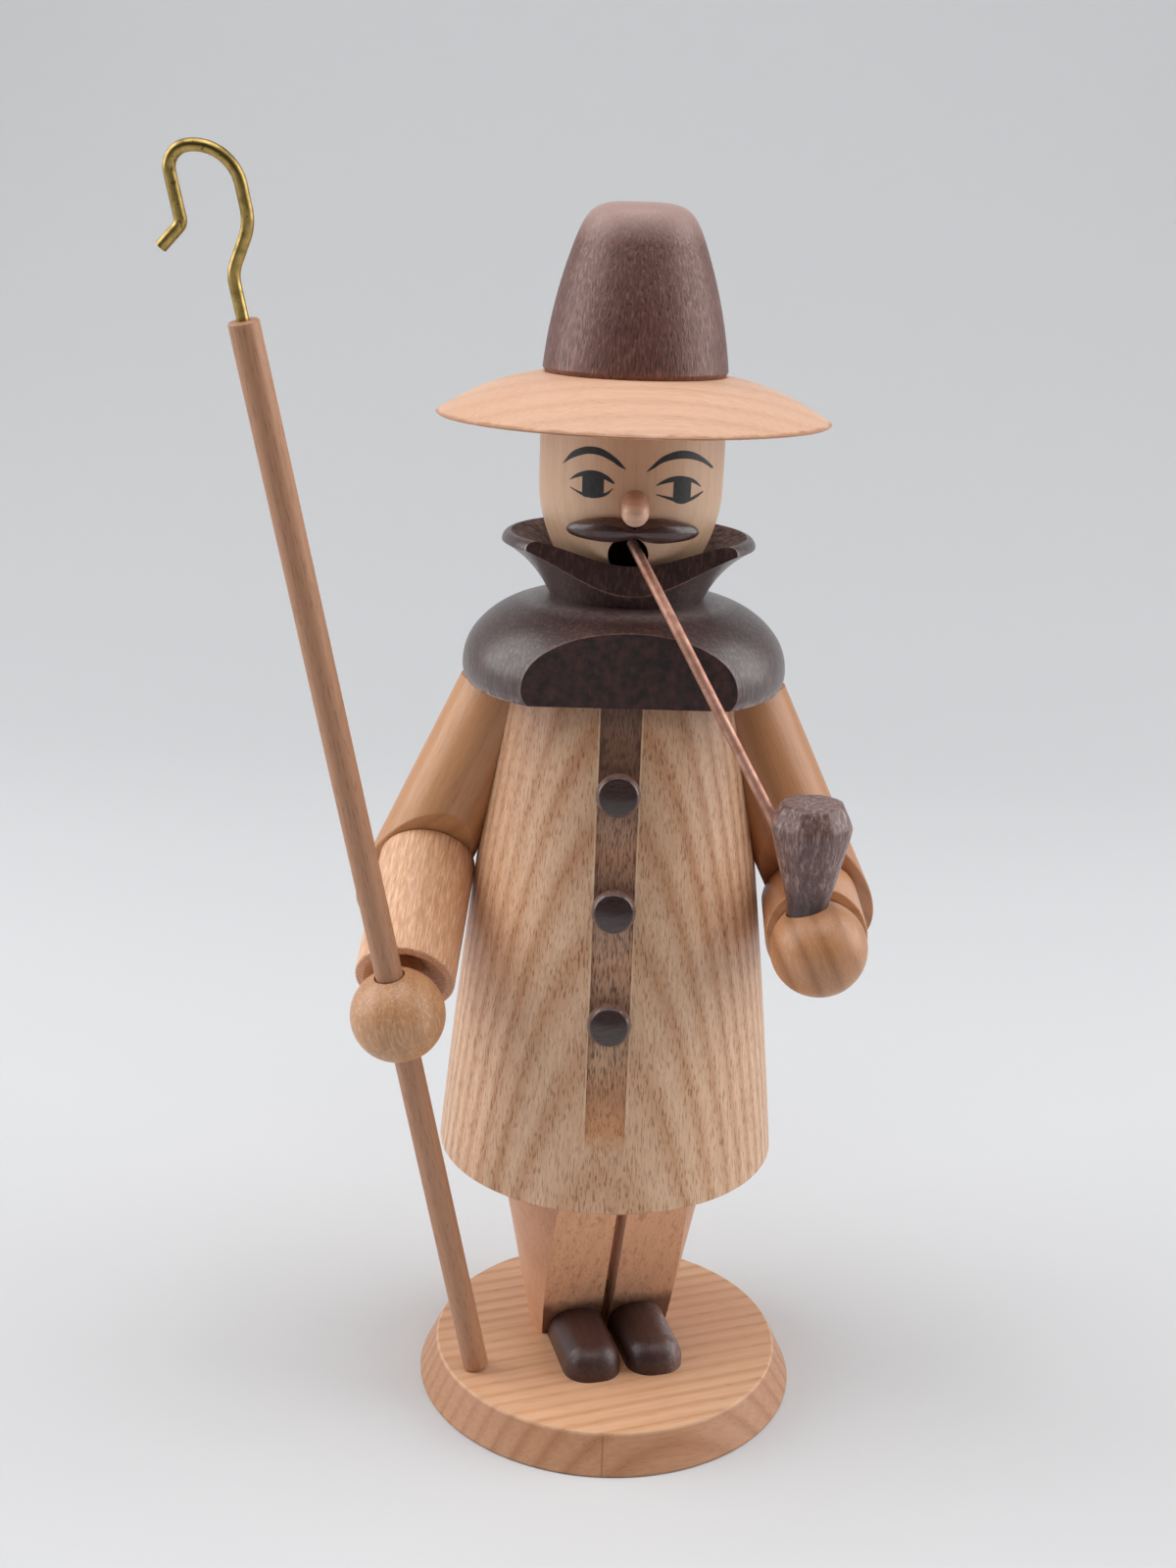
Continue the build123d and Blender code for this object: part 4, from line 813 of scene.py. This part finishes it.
# pipe bowl: whittled dark wood with eight flats, its edges rubbed round, its foot darker
# foot, wide and top: radius and height over the hand's middle
bowl = {
    **darkStain, "pale": "#82605a", "dark": "#4a302c", "tint": "#8d6a62", "grain": (-0.02, 0, 1),
    "roughness": 0.5,
    "pith": (0.06, -0.01, 0.1), "fibreLength": 6.0, "fibreWidth": 0.6, "glint": "#b3978e", "glintDepth": 0.5,
    "footReach": 5.0, "footShade": 0.75, "footTone": "#2f1c1a", "middle": (34.356, -28.868, 105.21),
    "lean": 1.2,
    "sides": 8, "foot": (3.7, 8.7), "waist": 4.4, "wide": (7.2, 22.8), "corner": 7.5, "top": (5.3, 27.0),
    "peg": 2.2,
    "round": 32, "turns": 96, "topSteps": 12, "rimSteps": 10, "sideSteps": 14,
}
lean = math.radians(bowl["lean"])
bowlUp = Vector((-math.sin(lean), 0, math.cos(lean)))
bowlOver = Vector((math.cos(lean), 0, math.sin(lean)))
footRadius, footLevel = bowl["foot"]
wideRadius, wideLevel = bowl["wide"]
topRadius, topLevel = bowl["top"]
taper = wideLevel - footLevel
rim = topLevel - wideLevel
bowlMiddle = Vector(bowl["middle"]) + bowlUp * wideLevel


# how far out the bowl's surface lies along a ray from its widest level, its flats rounded into each other
def whittled(turn, out, rise):
    pulls = [rise / rim, (out - (bowl["corner"] - footRadius) / taper * rise) / bowl["corner"]]
    for k in range(bowl["sides"]):
        flat = out * math.cos(turn - math.tau * k / bowl["sides"])
        pulls.append((flat - (wideRadius - bowl["waist"]) / taper * rise) / wideRadius)
        pulls.append((flat + (wideRadius - topRadius) / rim * rise) / wideRadius)
    return sum(max(0.0, pull) ** bowl["round"] for pull in pulls) ** (-1 / bowl["round"])


def bowlFoot(tree, place, colour):
    level = bowl["middle"][2] + footLevel
    dark = fade(tree, place, up, level, level + bowl["footReach"], bowl["footShade"], 0.0)
    return laid(tree, colour, bowl["footTone"], dark)


corners = ((0, rim), (topRadius, rim), (wideRadius, 0), (footRadius, -taper))
bowlProfile = []
for start, end, steps in zip(corners, corners[1:], (bowl["topSteps"], bowl["rimSteps"], bowl["sideSteps"])):
    for step in range(1, steps + 1):
        bowlProfile.append(Vector(start).lerp(Vector(end), step / steps))
spokes = spokesRound(bowlOver, -forward, bowl["turns"])
rings = []
for out, rise in bowlProfile:
    shares = [whittled(math.tau * k / bowl["turns"], out, rise) for k in range(bowl["turns"])]
    rays = [spoke * out + bowlUp * rise for spoke in spokes]
    rings.append([(bowlMiddle + ray * share) * mm for ray, share in zip(rays, shares)])
pegLevel = bowlMiddle - bowlUp * (taper + bowl["peg"])
rings.append([(pegLevel + spoke * footRadius * share) * mm for spoke, share in zip(spokes, shares)])
skinned("pipeBowl", rings, "pipe_bowl", "figure",
        wood("dark stained beech, pipe bowl", bowl, bowlFoot))

# drawn or pressed metal: dulled, with darker specks and a softer gloss where it is tarnished
metalLook = {"markRange": (0.3, 0.7), "speck": 0.9, "speckRange": (0.66, 0.72), "tarnish": 0.1,
             "metallic": 1.0}


def metal(name, choices):
    look = {**metalLook, **choices}
    material, tree, shader = newMaterial(name)
    place = addNode(tree, "TexCoord", out="Object")
    low, high = look["markRange"]
    mark = addNode(tree, "TexNoise", {"Vector": place, "Scale": 1 / (look["mark"] * mm), "Detail": 3.0})
    colour = addNode(tree, "ValToRGB", {"Fac": mark},
                     ramp=[(low, linear(look["dull"])), (high, linear(look["bright"]))])
    rough = addNode(tree, "MapRange",
                    {0: mark, 1: low, 2: high, 3: look["roughness"] + look["tarnish"], 4: look["roughness"]})
    low, high = look["speckRange"]
    speck = addNode(tree, "TexNoise", {"Vector": place, "Scale": 1 / (look["speck"] * mm), "Detail": 1.0})
    spot = addNode(tree, "MapRange", {0: speck, 1: low, 2: high, 4: look["spots"]})
    tree.links.new(laid(tree, colour, look["spot"], spot), shader.inputs["Base Color"])
    tree.links.new(rough, shader.inputs["Roughness"])
    shader.inputs["Metallic"].default_value = look["metallic"]
    return material


# hook: dull yellow with dark spots
hook = {"dull": "#8f7a45", "bright": "#bfa263", "spot": "#54452a", "spots": 0.7, "mark": 1.5,
        "roughness": 0.3}
dress("staff_hook", metal("aged brass wire", hook))
# stem: pinkish, only half bright
stem = {"dull": "#b98470", "bright": "#dbae9b", "spot": "#8a5b4c", "spots": 0.35, "mark": 2.0,
        "roughness": 0.5,
        "metallic": 0.7}
dress("pipe_stem", metal("dull copper wire", stem))
# dish: dull yellow, out of sight under the coat
dish = {"dull": "#8d7440", "bright": "#c3a561", "spot": "#4a3c22", "spots": 0.6, "mark": 3.0,
        "roughness": 0.35}
dress("incense_dish", metal("pressed brass sheet", dish))
print("pipe and metals dressed")

# studio: a pale sweep of paper, in metres
studio = {"paper": "#d3d4d6", "roughness": 0.8, "front": -1.2, "bend": 0.45, "radius": 0.4, "top": 1.8,
          "half": 2.0,
          "steps": 16}
sweepProfile = [(studio["front"], 0.0)]
for step in range(studio["steps"] + 1):
    angle = math.pi / 2 * step / studio["steps"]
    back = studio["bend"] + studio["radius"] * math.sin(angle)
    sweepProfile.append((back, studio["radius"] * (1 - math.cos(angle))))
sweepProfile.append((studio["bend"] + studio["radius"], studio["top"]))
sweep = bmesh.new()
edges = [[sweep.verts.new((x, y, z)) for x in (-studio["half"], studio["half"])] for y, z in sweepProfile]
for here, there in zip(edges, edges[1:]):
    sweep.faces.new((here[0], here[1], there[1], there[0]))
mesh = bpy.data.meshes.new("sweep")
sweep.to_mesh(mesh)
sweep.free()
for side in mesh.polygons:
    side.use_smooth = True
floor = bpy.data.objects.new("sweep", mesh)
scene.collection.objects.link(floor)
paper, tree, shader = newMaterial("pale paper sweep")  # matt and even
shader.inputs["Base Color"].default_value = linear(studio["paper"])
shader.inputs["Roughness"].default_value = studio["roughness"]
mesh.materials.append(paper)

# room: light from the sides, dark in front, and a pale ground where the camera looks past the sweep
room = {"side": "#f4f5f7", "front": "#161718", "darkFrom": 0.7, "strength": 0.46, "seen": 0.62}
scene.world = bpy.data.worlds.new("studioRoom")
scene.world.use_nodes = True
tree = scene.world.node_tree
way = addNode(tree, "TexCoord", out="Generated")
toFront = addNode(tree, "VectorMath", {0: way, 1: forward}, "Value", operation="DOT_PRODUCT")
darker = addNode(tree, "MapRange", {0: toFront, 1: 0.0, 2: room["darkFrom"]})
tone = laid(tree, linear(room["side"]), room["front"], darker)
looking = addNode(tree, "LightPath", out="Is Camera Ray")
tone = laid(tree, tone, grey(room["seen"] / room["strength"]), looking)
tree.links.new(tone, tree.nodes["Background"].inputs["Color"])
tree.nodes["Background"].inputs["Strength"].default_value = room["strength"]

# broad lamps at both sides and a soft one overhead, in metres and watts, aimed at the figure's middle
lamps = {
    "leftLamp": {"place": (-0.75, 0.0, 0.5), "size": 0.8, "power": 5.6},
    "rightLamp": {"place": (0.78, 0.05, 0.45), "size": 0.8, "power": 5.2},
    "topLamp": {"place": (0.0, -0.15, 1.0), "size": 0.8, "power": 5.0},
}
lampAim = Vector((0, 0, 0.12))
for name, look in lamps.items():
    light = bpy.data.lights.new(name, "AREA")
    light.size = look["size"]
    light.energy = look["power"]
    lamp = bpy.data.objects.new(name, light)
    scene.collection.objects.link(lamp)
    lamp.location = look["place"]
    lamp.rotation_euler = (lampAim - Vector(look["place"])).to_track_quat("-Z", "Y").to_euler()
print("stage set")
